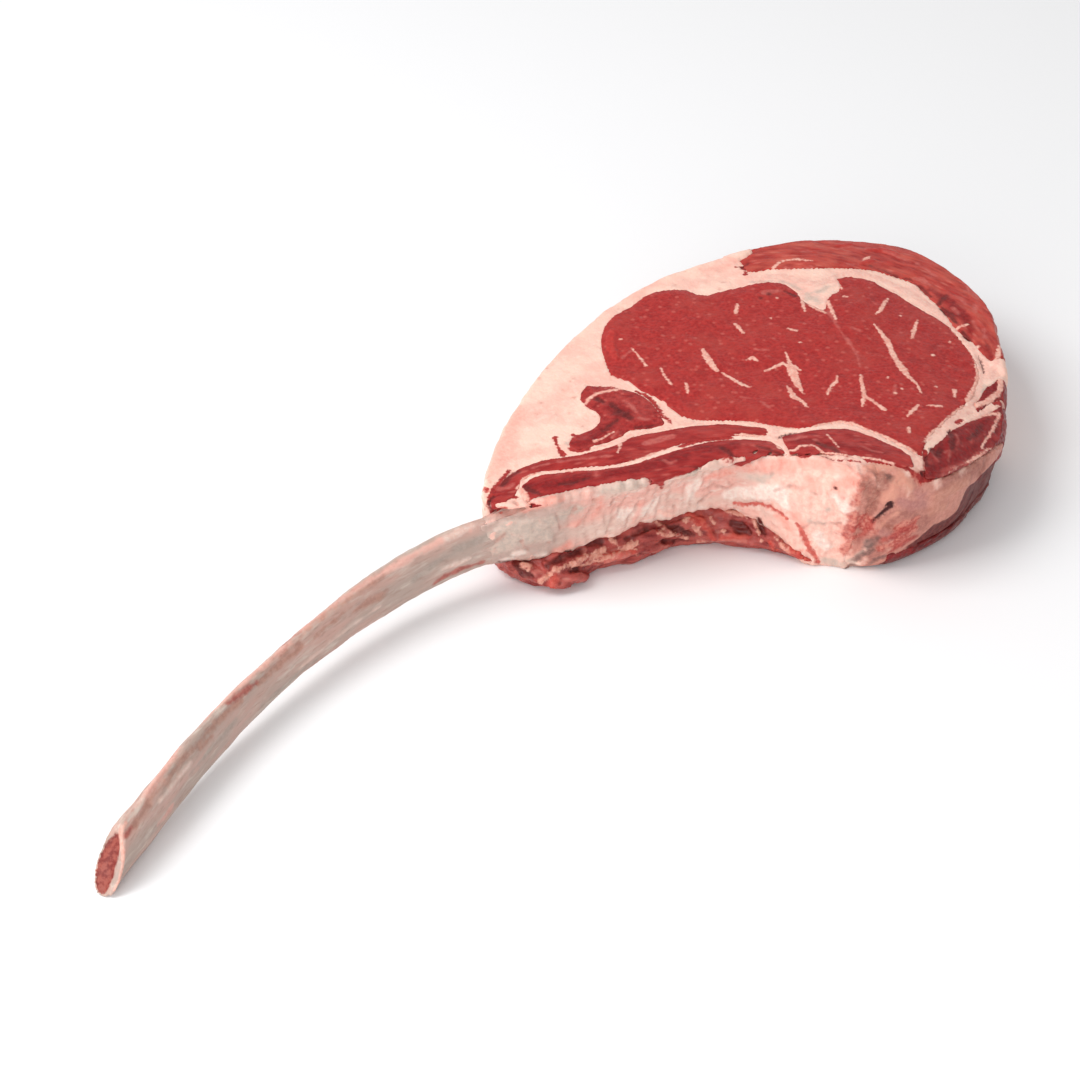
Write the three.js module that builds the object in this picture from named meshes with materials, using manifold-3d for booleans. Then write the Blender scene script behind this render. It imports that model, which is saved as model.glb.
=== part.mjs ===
// Raw long-bone rib steak: one thick cut of meat lying on its sole, with its rib left long and bare.
// Millimetres, +Z up, X along the rib, the tip of the bone at -X. The camera side of the meat, where
// the rib and its pale membrane show, faces -Y.

import * as THREE from 'three';
import { mergeVertices } from 'three/addons/utils/BufferGeometryUtils.js';
import Module from 'manifold-3d';

const wasm = await Module();
wasm.setup();

// ---- Driving dimensions ------------------------------------------------------------------------

const steakHeight = 46.5;       // cut face over the sole, in the middle of the eye
const chineRise = 5;            // the cut face stands higher beside the sawn chine
const leftFall = 2.5;           // and lower towards the end where the bone comes out
const rightFall = 5;            // and towards the far right wall
const cornerSag = 8;            // the soft corner right of the chine hangs down
const fit = 0.35;               // gap that neighbouring solids keep
const faceStep = 11;            // spacing of the vertices on the cut face
const outlineStep = 5;          // spacing of the vertices along a muscle's outline
const wallSteps = 3;            // vertices between two control points of the body's outline
const wallBulge = 2.2;          // how far the side walls swell at half height
const ribHollow = 6;            // how far the wall is drawn in behind the membrane over the rib
const fatSink = 0.35;           // fat lies this much under the lean on the cut face
const high = 90;                // above everything

// Sizes of the rib at its tip, its lower part, its middle, where it enters the meat, and inside.
const boneShares = [0, 0.15, 0.36, 0.53, 0.72];
const boneHeight = [21, 20.5, 18.5, 22.5, 22];
const boneThickness = [10.4, 8.6, 7.8, 9.6, 9];
const boneSides = 12;
const boneSteps = 48;
const tipSetBack = 16;          // how far the top of the oblique end cut lies behind its foot

// Centre line of the rib: the tip lies on the table, the far end is buried beside the chine.
const ribLine = [
  [-250, -65, 10.3], [-228, -49.8, 10.8], [-208.6, -39.6, 12], [-188.5, -28.4, 13],
  [-154.6, -12.3, 14.5], [-115.6, 0.8, 17], [-80.2, 8.2, 19.5], [-53.5, 9.8, 22],
  [-33.9, 7.2, 24], [-12.8, 0.5, 27], [12.4, -6, 29], [29.5, -10.5, 30],
  [52, -16, 30.5], [70, -26, 31], [84, -43, 31], [91, -58, 30],
];

// Outline of the meat, walking round it: cut face x, y, then sole x, y, then 1 where the wall is the
// hollow under the rib and 0 where it is plain.
const bodyOutline = [
  [-30.5, 7, -20, 9, 0.3], [-22.5, 18, -18, 18, 0], [-4, 36, 0, 34, 0], [23, 55.3, 26, 52, 0],
  [53, 72, 56, 67, 0], [88, 86, 90, 81, 0], [123, 92.5, 123, 87, 0], [156, 90.5, 155, 86, 0],
  [188, 82.5, 186, 78, 0], [216, 70.5, 212, 66, 0], [233, 56, 228, 53, 0], [237.5, 38, 232, 36, 0],
  [236, 12, 230, 11, 0], [229, -8, 223, -9, 0], [217, -25, 211, -25, 0], [203, -45, 195, -42, 0],
  [188, -60, 180, -60, 0], [170, -76, 168, -73, 0], [152, -83, 147, -78.5, 0],
  [130, -86, 122, -80, 0], [110, -83.5, 107, -78, 0], [97.5, -78.5, 97, -72.5, 0.4],
  [99, -69, 94, -65.5, 1], [92, -56, 86.5, -59.5, 1], [83, -46, 80, -50, 1],
  [72, -36.5, 74, -41.5, 1], [61, -32, 64.5, -31, 1], [45, -26.5, 49.5, -20, 1],
  [29, -23.5, 29, -18.5, 1], [12, -17, 13, -12.5, 1], [-7, -10, -7, -13.5, 1],
  [-22, -3, -16, -3.5, 0.8],
];

// Muscles, as they show on the cut face.
const eyeOutline = [
  [65, 25], [64, 38], [61.5, 43], [64.5, 51], [73, 66], [81, 74], [90, 78.5], [100, 80], [110, 83],
  [118, 82], [127, 76], [129, 69], [142, 66], [157, 62], [163, 58], [165, 50], [162, 40],
  [163.5, 33], [165.5, 28], [173, 35], [184, 39], [188, 46], [198, 40], [201, 30], [203, 12],
  [204, -6], [201, -17], [196, -30], [188, -42], [178, -50], [167, -55.5], [152, -61], [139, -66],
  [130, -71], [124.5, -75], [121.5, -66], [119.5, -55], [117, -46], [113, -39], [105, -36],
  [97, -32], [86, -16], [71, -3], [66, 6], [67.5, 16],
];
const capOutline = [
  [161, 78], [159, 72], [166, 70.5], [176, 64], [187, 57], [197, 52], [208, 44], [213.5, 35],
  [217, 28], [214.5, 16], [212, 3], [207.5, -7], [205.5, -21], [202, -33], [202, -39], [216, -42],
  [236, -25], [250, 20], [250, 55], [232, 80], [195, 100], [167, 103],
];
const nuggetOutline = [
  [48, 43], [52.5, 38], [57, 33], [61, 26], [61, 18], [59, 10], [57, 4], [50, 5.5], [44, 9],
  [36, 8], [24, 9.5], [17, 12], [22, 18], [31, 17.5], [38, 20], [41, 26], [39.5, 34], [43, 40],
];
const upperStripOutline = [
  [-28, 4], [-15, 13], [-8, 14.3], [3, 13.2], [9, 10], [22, 5], [35, 3], [42, 3.2], [52, -0.8],
  [64, -5], [76, -13], [84, -21], [87, -26.5], [84, -27.5], [75, -20], [61, -13], [44, -9.4],
  [27, -6.5], [17, -1], [4, 6], [-3, 9.4], [-10, 9.4], [-16, 5.4], [-22, 2],
];
const lowerStripOutline = [
  [-12, 5.6], [-4, 6], [3, 3], [16, -5], [26, -10], [43, -13.2], [60, -17], [74, -24.2],
  [82, -33], [82, -41], [79, -46], [70, -46], [58, -42], [44, -36], [28, -32], [10, -27],
  [-10, -19], [-17, -6],
];
const sideStripOutline = [
  [88.5, -34.5], [95, -36.5], [104, -41], [109.5, -45], [113, -50], [115, -57], [117, -64],
  [118.5, -71], [118.5, -77], [115.5, -79.5], [111, -77.5], [107, -73.5], [102, -69], [95, -64],
  [86, -56], [80, -50], [85, -43],
];
const cornerOutline = [
  [123, -80], [133, -74], [142, -71], [150, -67.5], [164, -64.5], [175, -62.5], [190, -59.8],
  [206, -60], [196, -78], [170, -96], [140, -101], [116, -98], [118.5, -87],
];
const wedgeOutline = [
  [186, -50], [192, -49], [196, -47.5], [197, -52], [192, -56.5], [186, -56.8], [178, -58],
  [171, -60.2], [171, -57.6], [178, -54.4],
];
const soleLeanOutline = [
  [108, -68], [122, -66], [146, -64], [166, -59], [181, -50], [196, -36], [208, -24], [224, -20],
  [212, -50], [190, -76], [150, -94], [118, -94], [106, -84],
];

// The muscles run through the steak, leaning a little: what the sole shows is shifted by this.
const grainLean = [3, -2];
const sideFloor = 24;           // the side strip ends this far over the table, inside the fat
const cornerFloor = 38;         // the corner's lean ends here by the chine,
const cornerFloorFrom = 118;    // at this place along X,
const cornerFloorFall = 0.286;  // and falls by this per millimetre towards the right wall
const soleLeanTop = 9;          // the dark lean that shows as a hem under the right wall

// The pale membrane and fat over the rib. Each station: x, y of its front at rib height, the angle in
// degrees that points into the meat, then n, z of its top edge, of its front and of its lower edge,
// where n is the depth behind the front, n and the two heights of its back, and how far its foot is
// drawn in along x and y.
const sheathStations = [
  [-34, 0.6, 82, 3.6, 37, 0.6, 25, 3.4, 13, 7, 15, 36, 0, 0],
  [-26, -2.6, 76, 1.5, 41, 0, 27, 2, 12, 9, 15, 39, 0, 0],
  [-13, -7.2, 70, -1, 42.5, 0, 29, 2, 14, 13, 15, 40, 0, 0],
  [0, -10.4, 73, -2.5, 43, 0.4, 29, 1.5, 14.5, 14, 16, 40, 0, 0],
  [12, -13.6, 76, -3.5, 43.5, -0.6, 30, 1, 18.5, 14, 18, 41, 0, 0],
  [21, -15.6, 76, -4.5, 44, 0.5, 31, 0.6, 17, 14, 18, 41, 0, 0],
  [29.5, -17.8, 75, -5, 44.2, -0.8, 30, 1.6, 20, 14, 19, 41, 0, 0],
  [42, -20.8, 73, -4.6, 44.8, 0.4, 31, 1, 18.5, 14.5, 19, 41, 0, 0],
  [55, -24.4, 68, -4, 45.5, -0.6, 31, 1.2, 19.5, 14.5, 18, 41, 0, 0],
  [68, -31.4, 48, -1, 46.5, -0.4, 30, 1.4, 17.5, 15, 17, 42, 0, 0],
  [76, -43.5, 30, 3, 48, -0.6, 30, 2, 10, 15.5, 10, 43, 0, 0],
  [80, -53, 25, 6, 49.6, -0.8, 30, 1.2, 4, 15.5, 2, 45, 0, 0],
  [85, -63, 22, 7, 51, -0.6, 31, 0.8, -4, 15, -4, 49, 1, 3],
  [88.6, -70.5, 0, 4, 51, -0.2, 31, 1.4, -4, 13.5, -4, 55, 3, 6],
  [91, -76, -22, 1.6, 51.5, 0, 28, 0.8, -4, 12.5, -4, 56, 3.5, 7.5],
];
const sheathSides = 14;
const sheathBetween = 2;        // cross sections for each station
const underLeanDepth = 21;      // how far the lean under the rib reaches into the meat
const underLeanReach = [1, 12]; // the stations it lies under

// ---- Small helpers -----------------------------------------------------------------------------

const smoothStep = (from, to, value) => THREE.MathUtils.smoothstep(value, from, to);
const mix = THREE.MathUtils.lerp;

// Height of the cut face over the table.
function cutFace(x, y) {
  const chine = chineRise * Math.exp(-(((x - 98) / 26) ** 2 + ((y + 69) / 26) ** 2) / 2);
  const left = leftFall * (1 - smoothStep(-36, 54, x));
  const right = rightFall * smoothStep(159, 219, x - 0.35 * (y - 1));
  const corner = cornerSag * smoothStep(110, 136, 0.35 * x - 0.94 * y);
  return steakHeight + chine - left - right - corner;
}

function splineLoop(points, step) {
  const knots = points.map(([x, y]) => new THREE.Vector3(x, y, 0));
  const curve = new THREE.CatmullRomCurve3(knots, true, 'centripetal');
  const count = Math.round(curve.getLength() / step);
  return curve.getSpacedPoints(count).slice(0, -1).map((p) => new THREE.Vector2(p.x, p.y));
}

// Moves a closed outline outwards by a distance.
function grownLoop(loop, distance) {
  const turn = THREE.ShapeUtils.isClockWise(loop) ? -1 : 1;
  return loop.map((point, i) => {
    const before = loop[(i + loop.length - 1) % loop.length];
    const after = loop[(i + 1) % loop.length];
    const along = after.clone().sub(before).normalize();
    return new THREE.Vector2(point.x + turn * along.y * distance, point.y - turn * along.x * distance);
  });
}

// A closed solid through rings of equal length; capLoop is the flat outline that closes both ends.
function loft(rings, capLoop) {
  const turned = THREE.ShapeUtils.isClockWise(capLoop);
  const loops = turned ? rings.map((ring) => ring.slice().reverse()) : rings;
  const cap = turned ? capLoop.slice().reverse() : capLoop;
  const sides = cap.length;
  const index = [];
  for (let r = 0; r + 1 < loops.length; r += 1) {
    for (let i = 0; i < sides; i += 1) {
      const a = r * sides + i;
      const b = r * sides + ((i + 1) % sides);
      index.push(a, b, b + sides, a, b + sides, a + sides);
    }
  }
  const last = (loops.length - 1) * sides;
  for (const [a, b, c] of THREE.ShapeUtils.triangulateShape(cap, [])) {
    index.push(c, b, a, last + a, last + b, last + c);
  }
  const positions = loops.flat().flatMap((p) => [p.x, p.y, p.z]);
  const geometry = new THREE.BufferGeometry();
  geometry.setAttribute('position', new THREE.Float32BufferAttribute(positions, 3));
  geometry.setIndex(signedVolume(positions, index) < 0 ? index.reverse() : index);
  return solidOf(geometry);
}

function signedVolume(positions, index) {
  const corner = (i) => new THREE.Vector3().fromArray(positions, 3 * index[i]);
  let volume = 0;
  for (let i = 0; i < index.length; i += 3) {
    volume += corner(i).dot(corner(i + 1).cross(corner(i + 2))) / 6;
  }
  return volume;
}

function solidOf(geometry) {
  geometry.deleteAttribute('normal');
  geometry.deleteAttribute('uv');
  const merged = mergeVertices(geometry, 1e-4);
  return new wasm.Manifold(new wasm.Mesh({
    numProp: 3,
    vertProperties: Float32Array.from(merged.attributes.position.array),
    triVerts: Uint32Array.from(merged.index.array),
  }));
}

// Turns a loop round where it must be, so that every loft faces outwards.
const counterClockwise = (loop) => (THREE.ShapeUtils.isClockWise(loop) ? loop.slice().reverse() : loop);

// ---- The body of meat --------------------------------------------------------------------------

// Everything between the table and the cut face, lowered by sink.
function underCutFace(sink) {
  const width = 340;
  const depth = 250;
  const block = new THREE.BoxGeometry(
    width, depth, high, Math.round(width / faceStep), Math.round(depth / faceStep), 1,
  );
  block.translate(95, 0, high / 2);
  const position = block.attributes.position;
  for (let i = 0; i < position.count; i += 1) {
    if (position.getZ(i) > 1) {
      position.setZ(i, cutFace(position.getX(i), position.getY(i)) - sink);
    }
  }
  return solidOf(block);
}

// Levels of the wall: share of the height, and how far the edge there is drawn in.
const wallLevels = [
  [0, 3], [0.035, 1.2], [0.1, 0.2], [0.24, 0], [0.42, 0], [0.62, 0], [0.8, 0], [0.9, 0.1],
  [0.96, 0.6], [0.995, 1.6],
];

function bodySolid() {
  const cutKnots = bodyOutline.map(([x, y, , , hollow]) => new THREE.Vector3(x, y, hollow));
  const soleKnots = bodyOutline.map(([, , x, y, hollow]) => new THREE.Vector3(x, y, hollow));
  const count = bodyOutline.length * wallSteps;
  const cutLoop = new THREE.CatmullRomCurve3(cutKnots, true).getPoints(count).slice(0, -1).reverse();
  const soleLoop = new THREE.CatmullRomCurve3(soleKnots, true).getPoints(count).slice(0, -1).reverse();
  const rings = wallLevels.map(([share, drawIn]) => {
    const plain = cutLoop.map((cut, i) => {
      const hollowRise = smoothStep(0.84, 0.97, share);
      const rise = mix(share, hollowRise, cut.z);
      const bulge = wallBulge * Math.sin(Math.PI * share) * (1 - cut.z);
      const hollow = ribHollow * cut.z * smoothStep(0.2, 0.42, share) * (1 - smoothStep(0.8, 0.93, share));
      const point = new THREE.Vector2(mix(soleLoop[i].x, cut.x, rise), mix(soleLoop[i].y, cut.y, rise));
      return { point, out: bulge - hollow - drawIn * (1 - cut.z * share) };
    });
    const loop = plain.map((entry) => entry.point);
    return loop.map((point, i) => {
      const moved = grownLoop(loop, plain[i].out)[i];
      return new THREE.Vector3(moved.x, moved.y, share * cutFace(cutLoop[i].x, cutLoop[i].y));
    });
  });
  rings.push(rings.at(-1).map((p) => new THREE.Vector3(p.x, p.y, high)));
  return loft(rings, soleLoop.map((p) => new THREE.Vector2(p.x, p.y)));
}

// A muscle's prism through the steak, leaning with the grain. from and to give the heights of its ends
// at a place along X.
function prism(outline, { grow = 0, from = () => -5, to = () => high } = {}) {
  const loop = grownLoop(counterClockwise(splineLoop(outline, outlineStep)), grow);
  const level = (height, margin) => loop.map((p) => {
    const z = height(p.x) + margin;
    const lean = 1 - z / steakHeight;
    return new THREE.Vector3(p.x + grainLean[0] * lean, p.y + grainLean[1] * lean, z);
  });
  return loft([level(from, -grow), level(to, grow)], loop);
}

const cornerUnderside = (x) => cornerFloor - cornerFloorFall * (x - cornerFloorFrom);

// ---- The rib -----------------------------------------------------------------------------------

const ribCurve = new THREE.CatmullRomCurve3(
  ribLine.map(([x, y, z]) => new THREE.Vector3(x, y, z)), false, 'centripetal',
);

// A size of the rib at a share of its length.
function ribSize(sizes, share) {
  const next = Math.max(1, boneShares.findIndex((place) => place >= share));
  if (share >= boneShares.at(-1)) return sizes.at(-1);
  return mix(sizes[next - 1], sizes[next], smoothStep(boneShares[next - 1], boneShares[next], share));
}

function ribSolid(grow) {
  const up = new THREE.Vector3(0, 0, 1);
  const rings = [];
  for (let step = 0; step <= boneSteps; step += 1) {
    const share = step / boneSteps;
    const centre = ribCurve.getPointAt(share);
    const along = ribCurve.getTangentAt(share);
    const side = new THREE.Vector3().crossVectors(up, along).normalize();
    const tall = new THREE.Vector3().crossVectors(along, side);
    const halfTall = ribSize(boneHeight, share) / 2 + grow;
    const halfThin = ribSize(boneThickness, share) / 2 + grow;
    rings.push(Array.from({ length: boneSides }, (_, i) => {
      const angle = (2 * Math.PI * i) / boneSides;
      const across = Math.sign(Math.cos(angle)) * Math.abs(Math.cos(angle)) ** 0.8;
      const upward = Math.sign(Math.sin(angle)) * Math.abs(Math.sin(angle)) ** 0.9;
      const ridge = 1 - 0.18 * upward;        // the upper edge is the thinner one
      return centre.clone()
        .addScaledVector(side, halfThin * across * ridge)
        .addScaledVector(tall, halfTall * upward);
    }));
  }
  const cap = Array.from({ length: boneSides }, (_, i) => {
    const angle = (2 * Math.PI * i) / boneSides;
    return new THREE.Vector2(Math.cos(angle), Math.sin(angle));
  });
  return loft(rings, cap);
}

// The block that the oblique saw cut takes off the tip.
function tipOffcut() {
  const height = boneHeight[0];
  const foot = new THREE.Vector3(-238, -54, 0);
  const back = ribCurve.getTangentAt(0.02).setZ(0).normalize();
  const block = new THREE.BoxGeometry(60, 60, 80);
  block.translate(-30, 0, 0);
  block.rotateY(Math.atan2(tipSetBack, height));
  block.rotateZ(Math.atan2(back.y, back.x));
  block.translate(foot.x, foot.y, foot.z);
  return solidOf(block);
}

// ---- The membrane over the rib and the lean under it -------------------------------------------

// All stations of the membrane, with smooth ones between those that are given.
function smoothStations() {
  const tracks = sheathStations[0].map((_, column) => new THREE.CatmullRomCurve3(
    sheathStations.map((row, i) => new THREE.Vector3(i, row[column], 0)), false, 'catmullrom', 0.5,
  ));
  const count = (sheathStations.length - 1) * sheathBetween;
  return Array.from({ length: count + 1 }, (_, i) => tracks.map((track) => track.getPoint(i / count).y));
}

// One cross section of the membrane: rounded, and with its foot drawn in where the chine leans.
function sheathRing(station, grow) {
  const [x, y, inward, topN, topZ, frontN, frontZ, lowN, lowZ, backN, backLow, backHigh, ...foot] = station;
  const angle = THREE.MathUtils.degToRad(inward);
  const knots = [
    [topN, topZ], [mix(topN, frontN, 0.6) - 0.4, mix(topZ, frontZ, 0.45)],
    [frontN, frontZ], [mix(frontN, lowN, 0.5) - 0.3, mix(frontZ, lowZ, 0.6)],
    [lowN, lowZ], [backN, backLow], [backN, backHigh],
  ].map(([n, z]) => new THREE.Vector3(n, z, 0));
  const curve = new THREE.CatmullRomCurve3(knots, true, 'centripetal');
  const section = curve.getPoints(sheathSides).slice(0, -1).map((p) => new THREE.Vector2(p.x, p.y));
  return grownLoop(section, grow).map((p) => {
    const drop = 1 - p.y / steakHeight;
    return new THREE.Vector3(
      x + p.x * Math.cos(angle) + foot[0] * drop, y + p.x * Math.sin(angle) + foot[1] * drop, p.y,
    );
  });
}

function sheathSolid(grow) {
  const rings = smoothStations().map((station) => sheathRing(station, grow));
  return loft(rings, rings[0].map((p) => new THREE.Vector2(p.y, p.z)));
}

// The lean under the rib: a band behind the sheath's lower edge, down to the table.
function underLeanBand(grow) {
  const deep = underLeanDepth + grow;
  const front = -9;               // in front of everything
  const below = -6;               // under the table
  const rings = sheathStations.slice(...underLeanReach).map((station) => {
    const [x, y, inward, , , , , , top] = station;
    const angle = THREE.MathUtils.degToRad(inward);
    const point = (n, z) => new THREE.Vector3(x + n * Math.cos(angle), y + n * Math.sin(angle), z);
    const roof = top + 1 + grow;
    return [point(front, below), point(deep, below), point(deep, roof), point(front, roof + 3)];
  });
  const cap = [[front, below], [deep, below], [deep, high], [front, high]];
  return loft(rings, cap.map(([n, z]) => new THREE.Vector2(n, z)));
}

// Torn strands of lean that lie along the foot of the steak or hang from the membrane's lower edge:
// points along each, x, y, z, and its half thickness in the middle.
const strands = [
  { path: [[-22, 3, 15], [-16, -5, 9], [-10, -12, 5], [-4, -16.5, 3.6]], half: 3.4 },
  { path: [[-12, -8, 14], [-6, -12, 9], [2, -15.5, 4.4], [6, -14, 3]], half: 3.6 },
  { path: [[8, -11, 9], [20, -14, 7], [34, -18, 6.5], [46, -19, 4]], half: 3.2 },
  { path: [[26, -15, 14], [38, -18, 12], [50, -19.5, 12], [60, -24, 13]], half: 3 },
  { path: [[52, -19, 6], [62, -27, 7], [71, -37, 6], [77, -46, 4]], half: 3.2 },
  { path: [[70, -34, 13], [76, -43, 9], [81, -53, 5], [85, -60, 3]], half: 2.8 },
];
const strandSides = 6;
const strandSteps = 6;

function strandSolid({ path, half }) {
  const curve = new THREE.CatmullRomCurve3(path.map(([x, y, z]) => new THREE.Vector3(x, y, z)));
  const frames = curve.computeFrenetFrames(strandSteps, false);
  const unit = Array.from({ length: strandSides }, (_, i) => {
    const angle = (2 * Math.PI * i) / strandSides;
    return new THREE.Vector2(Math.cos(angle), Math.sin(angle));
  });
  const rings = Array.from({ length: strandSteps + 1 }, (_, step) => {
    const share = step / strandSteps;
    const radius = half * (0.2 + 0.8 * Math.sin(Math.PI * share)) * (1 + 0.18 * Math.sin(7 * share));
    return unit.map((p) => curve.getPointAt(share)
      .addScaledVector(frames.normals[step], p.x * radius)
      .addScaledVector(frames.binormals[step], p.y * radius));
  });
  return loft(rings, unit);
}

// ---- Joining and cutting -----------------------------------------------------------------------

function largest(solid) {
  return solid.decompose().sort((a, b) => b.volume() - a.volume())[0];
}

const cutBy = (solid, tools) => tools.reduce((rest, tool) => rest.subtract(tool), solid);

function meshOf(name, solid, color, roughness) {
  const { vertProperties, triVerts } = largest(solid).getMesh();
  const geometry = new THREE.BufferGeometry();
  geometry.setAttribute('position', new THREE.Float32BufferAttribute(vertProperties, 3));
  geometry.setIndex(new THREE.BufferAttribute(triVerts, 1));
  geometry.computeVertexNormals();
  const material = new THREE.MeshStandardMaterial({ color, roughness, metalness: 0 });
  const mesh = new THREE.Mesh(geometry, material);
  mesh.name = name;
  return mesh;
}

function buildSteak() {
  const leanFace = underCutFace(0);
  const fatFace = underCutFace(fatSink);
  const body = bodySolid();
  const leanBody = body.intersect(leanFace);
  const offcut = tipOffcut();
  const rib = ribSolid(0).subtract(offcut);
  const ribRoom = ribSolid(fit);
  const sheathRoom = sheathSolid(fit);
  const bandRoom = underLeanBand(fit);
  const tornRoom = strands.map(({ path, half }) => strandSolid({ path, half: half + 2 * fit }))
    .reduce((all, strand) => all.add(strand));
  const sheath = sheathSolid(0).intersect(leanFace).subtract(ribRoom);
  const torn = strands.map(strandSolid).reduce((all, strand) => all.add(strand));
  const tornOverTable = torn.intersect(leanFace);
  const underLean = cutBy(leanBody.intersect(underLeanBand(0)).add(tornOverTable), [sheathRoom, ribRoom]);
  const muscles = [
    { name: 'rib_eye', outline: eyeOutline, color: 0xb23a3c },
    { name: 'rib_cap', outline: capOutline, color: 0xa8322f },
    { name: 'lean_nugget', outline: nuggetOutline, color: 0x9a2b2d },
    { name: 'upper_strip', outline: upperStripOutline, color: 0xa42c2e },
    { name: 'lower_strip', outline: lowerStripOutline, color: 0xa02a2c },
    { name: 'side_strip', outline: sideStripOutline, color: 0xa23a38, from: () => sideFloor },
    { name: 'corner_lean', outline: cornerOutline, color: 0x8f2a2b, from: cornerUnderside },
    { name: 'wedge_lean', outline: wedgeOutline, color: 0x9c3030 },
    { name: 'sole_lean', outline: soleLeanOutline, color: 0x6d2224, to: () => soleLeanTop },
  ];
  const soleRoom = prism(soleLeanOutline, { grow: fit, to: () => soleLeanTop });
  const group = new THREE.Group();
  group.add(meshOf('rib_bone', rib, 0xcbb3a6, 0.5));
  group.add(meshOf('bone_sheath', sheath, 0xe6c9bd, 0.45));
  group.add(meshOf('under_lean', underLean, 0x8a2323, 0.4));
  const rooms = [sheathRoom, ribRoom, bandRoom, tornRoom];
  let fat = body.intersect(fatFace);
  for (const { name, outline, color, from, to } of muscles) {
    const cuts = name === 'sole_lean' ? rooms : [...rooms, soleRoom];
    const muscle = cutBy(leanBody.intersect(prism(outline, { from, to })), cuts);
    fat = fat.subtract(prism(outline, { grow: fit, from, to }));
    group.add(meshOf(name, muscle, color, 0.4));
  }
  group.add(meshOf('outer_fat', cutBy(fat, rooms), 0xeccfc2, 0.5));
  return group;
}

// Puts the middle of the object's box over the origin, on the table.
function centreOnTable(group) {
  const box = new THREE.Box3().setFromObject(group);
  const centre = box.getCenter(new THREE.Vector3());
  group.position.set(-centre.x, -centre.y, -box.min.z);
  return group;
}

export default centreOnTable(buildSteak());
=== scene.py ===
# Raw long-bone rib steak: how the meat, the fat, the membrane and the bone look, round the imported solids.
import math

import bmesh
import bpy
import numpy as np
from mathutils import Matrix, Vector, noise
from mathutils.bvhtree import BVHTree


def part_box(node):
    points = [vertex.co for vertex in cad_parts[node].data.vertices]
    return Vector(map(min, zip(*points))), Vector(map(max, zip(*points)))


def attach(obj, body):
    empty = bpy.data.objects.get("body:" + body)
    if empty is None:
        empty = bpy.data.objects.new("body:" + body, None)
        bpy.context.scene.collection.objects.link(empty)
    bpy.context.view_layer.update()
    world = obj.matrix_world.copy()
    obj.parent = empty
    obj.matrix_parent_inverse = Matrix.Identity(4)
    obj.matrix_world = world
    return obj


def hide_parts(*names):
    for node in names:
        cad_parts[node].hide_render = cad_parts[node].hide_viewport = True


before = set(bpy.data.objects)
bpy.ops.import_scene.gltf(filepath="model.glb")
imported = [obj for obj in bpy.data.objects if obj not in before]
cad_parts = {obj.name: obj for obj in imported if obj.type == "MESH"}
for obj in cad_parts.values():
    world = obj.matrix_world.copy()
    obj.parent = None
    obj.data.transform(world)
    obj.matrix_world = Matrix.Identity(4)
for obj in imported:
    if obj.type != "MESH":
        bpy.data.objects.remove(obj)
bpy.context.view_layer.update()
print("stage: frame loaded")

# Everything below is worked out in millimetres, and stored in metres.
mm = 0.001
overAll = 100.0                      # a height above the whole steak

view = {
    "target": (6.0, 15.6, 0.0),      # place on the table in the middle of the picture
    "distance": 1050.0,
    "azimuth": -36.0,
    "elevation": 38.0,
    "lens": 85.0,
    "sensor": 36.0,
    "frame": 1080,                   # pixels along one side of the photograph
    "near": 750,                     # the steak lies between these distances from the camera
    "far": 1350,
}


def cameraFrame():
    turn = math.radians(view["azimuth"])
    rise = math.radians(view["elevation"])
    away = Vector((math.sin(turn) * math.cos(rise), -math.cos(turn) * math.cos(rise), math.sin(rise)))
    right = (-away).cross(Vector((0, 0, 1))).normalized()
    up = right.cross(-away)
    place = Vector(view["target"]) + view["distance"] * away
    return place, right, up, away


def makeCamera():
    place, right, up, away = cameraFrame()
    camera = bpy.data.objects.new("camera", bpy.data.cameras.new("camera"))
    bpy.context.scene.collection.objects.link(camera)
    camera.location = place * mm
    camera.rotation_euler = (-away).to_track_quat("-Z", "Y").to_euler()
    camera.data.lens = view["lens"]
    camera.data.sensor_width = view["sensor"]
    camera.data.clip_start = 0.05
    bpy.context.scene.camera = camera


# The solids' own surfaces, for laying strokes on them and for measuring distances to them.
def solidTree(names, keep=lambda polygon: True):
    corners = []
    faces = []
    for name in names:
        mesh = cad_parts[name].data
        first = len(corners)
        corners += [vert.co / mm for vert in mesh.vertices]
        faces += [[first + i for i in face.vertices] for face in mesh.polygons if keep(face)]
    return BVHTree.FromPolygons(corners, faces)


allNodes = sorted(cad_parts)
steakTree = solidTree(allNodes)


# Where the line of sight through a pixel of the photograph meets the steak, or passes it closest.
def onSteak(across, down):
    place, right, up, away = cameraFrame()
    reach = view["lens"] / view["sensor"] * view["frame"]
    half = view["frame"] / 2
    sight = (right * ((across - half) / reach) - up * ((down - half) / reach) - away).normalized()
    hit = steakTree.ray_cast(place, sight)[0]
    if hit is None:
        lengths = range(view["near"], view["far"], 5)
        tries = [steakTree.find_nearest(place + sight * length) for length in lengths]
        hit = min(tries, key=lambda found: found[3])[0]
    return np.array(hit)


def placesOf(piece):
    flat = np.empty(3 * len(piece.data.vertices), np.float32)
    piece.data.vertices.foreach_get("co", flat)
    return flat.reshape(-1, 3).astype(float) / mm


def normalsOf(piece):
    flat = np.empty(3 * len(piece.data.vertices), np.float32)
    piece.data.vertex_normals.foreach_get("vector", flat)
    return flat.reshape(-1, 3).astype(float)


def moveTo(piece, places):
    piece.data.vertices.foreach_set("co", (places * mm).astype(np.float32).ravel())
    piece.data.update()


def keepValues(piece, channel, values):
    attribute = piece.data.attributes.new(channel, "FLOAT", "POINT")
    attribute.data.foreach_set("value", values.astype(np.float32))


# The places that a material's grain is laid out on, stored in metres.
def keepGrain(piece, grain):
    attribute = piece.data.attributes.new("grain", "FLOAT_VECTOR", "POINT")
    attribute.data.foreach_set("vector", (grain * mm).astype(np.float32).ravel())


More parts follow.
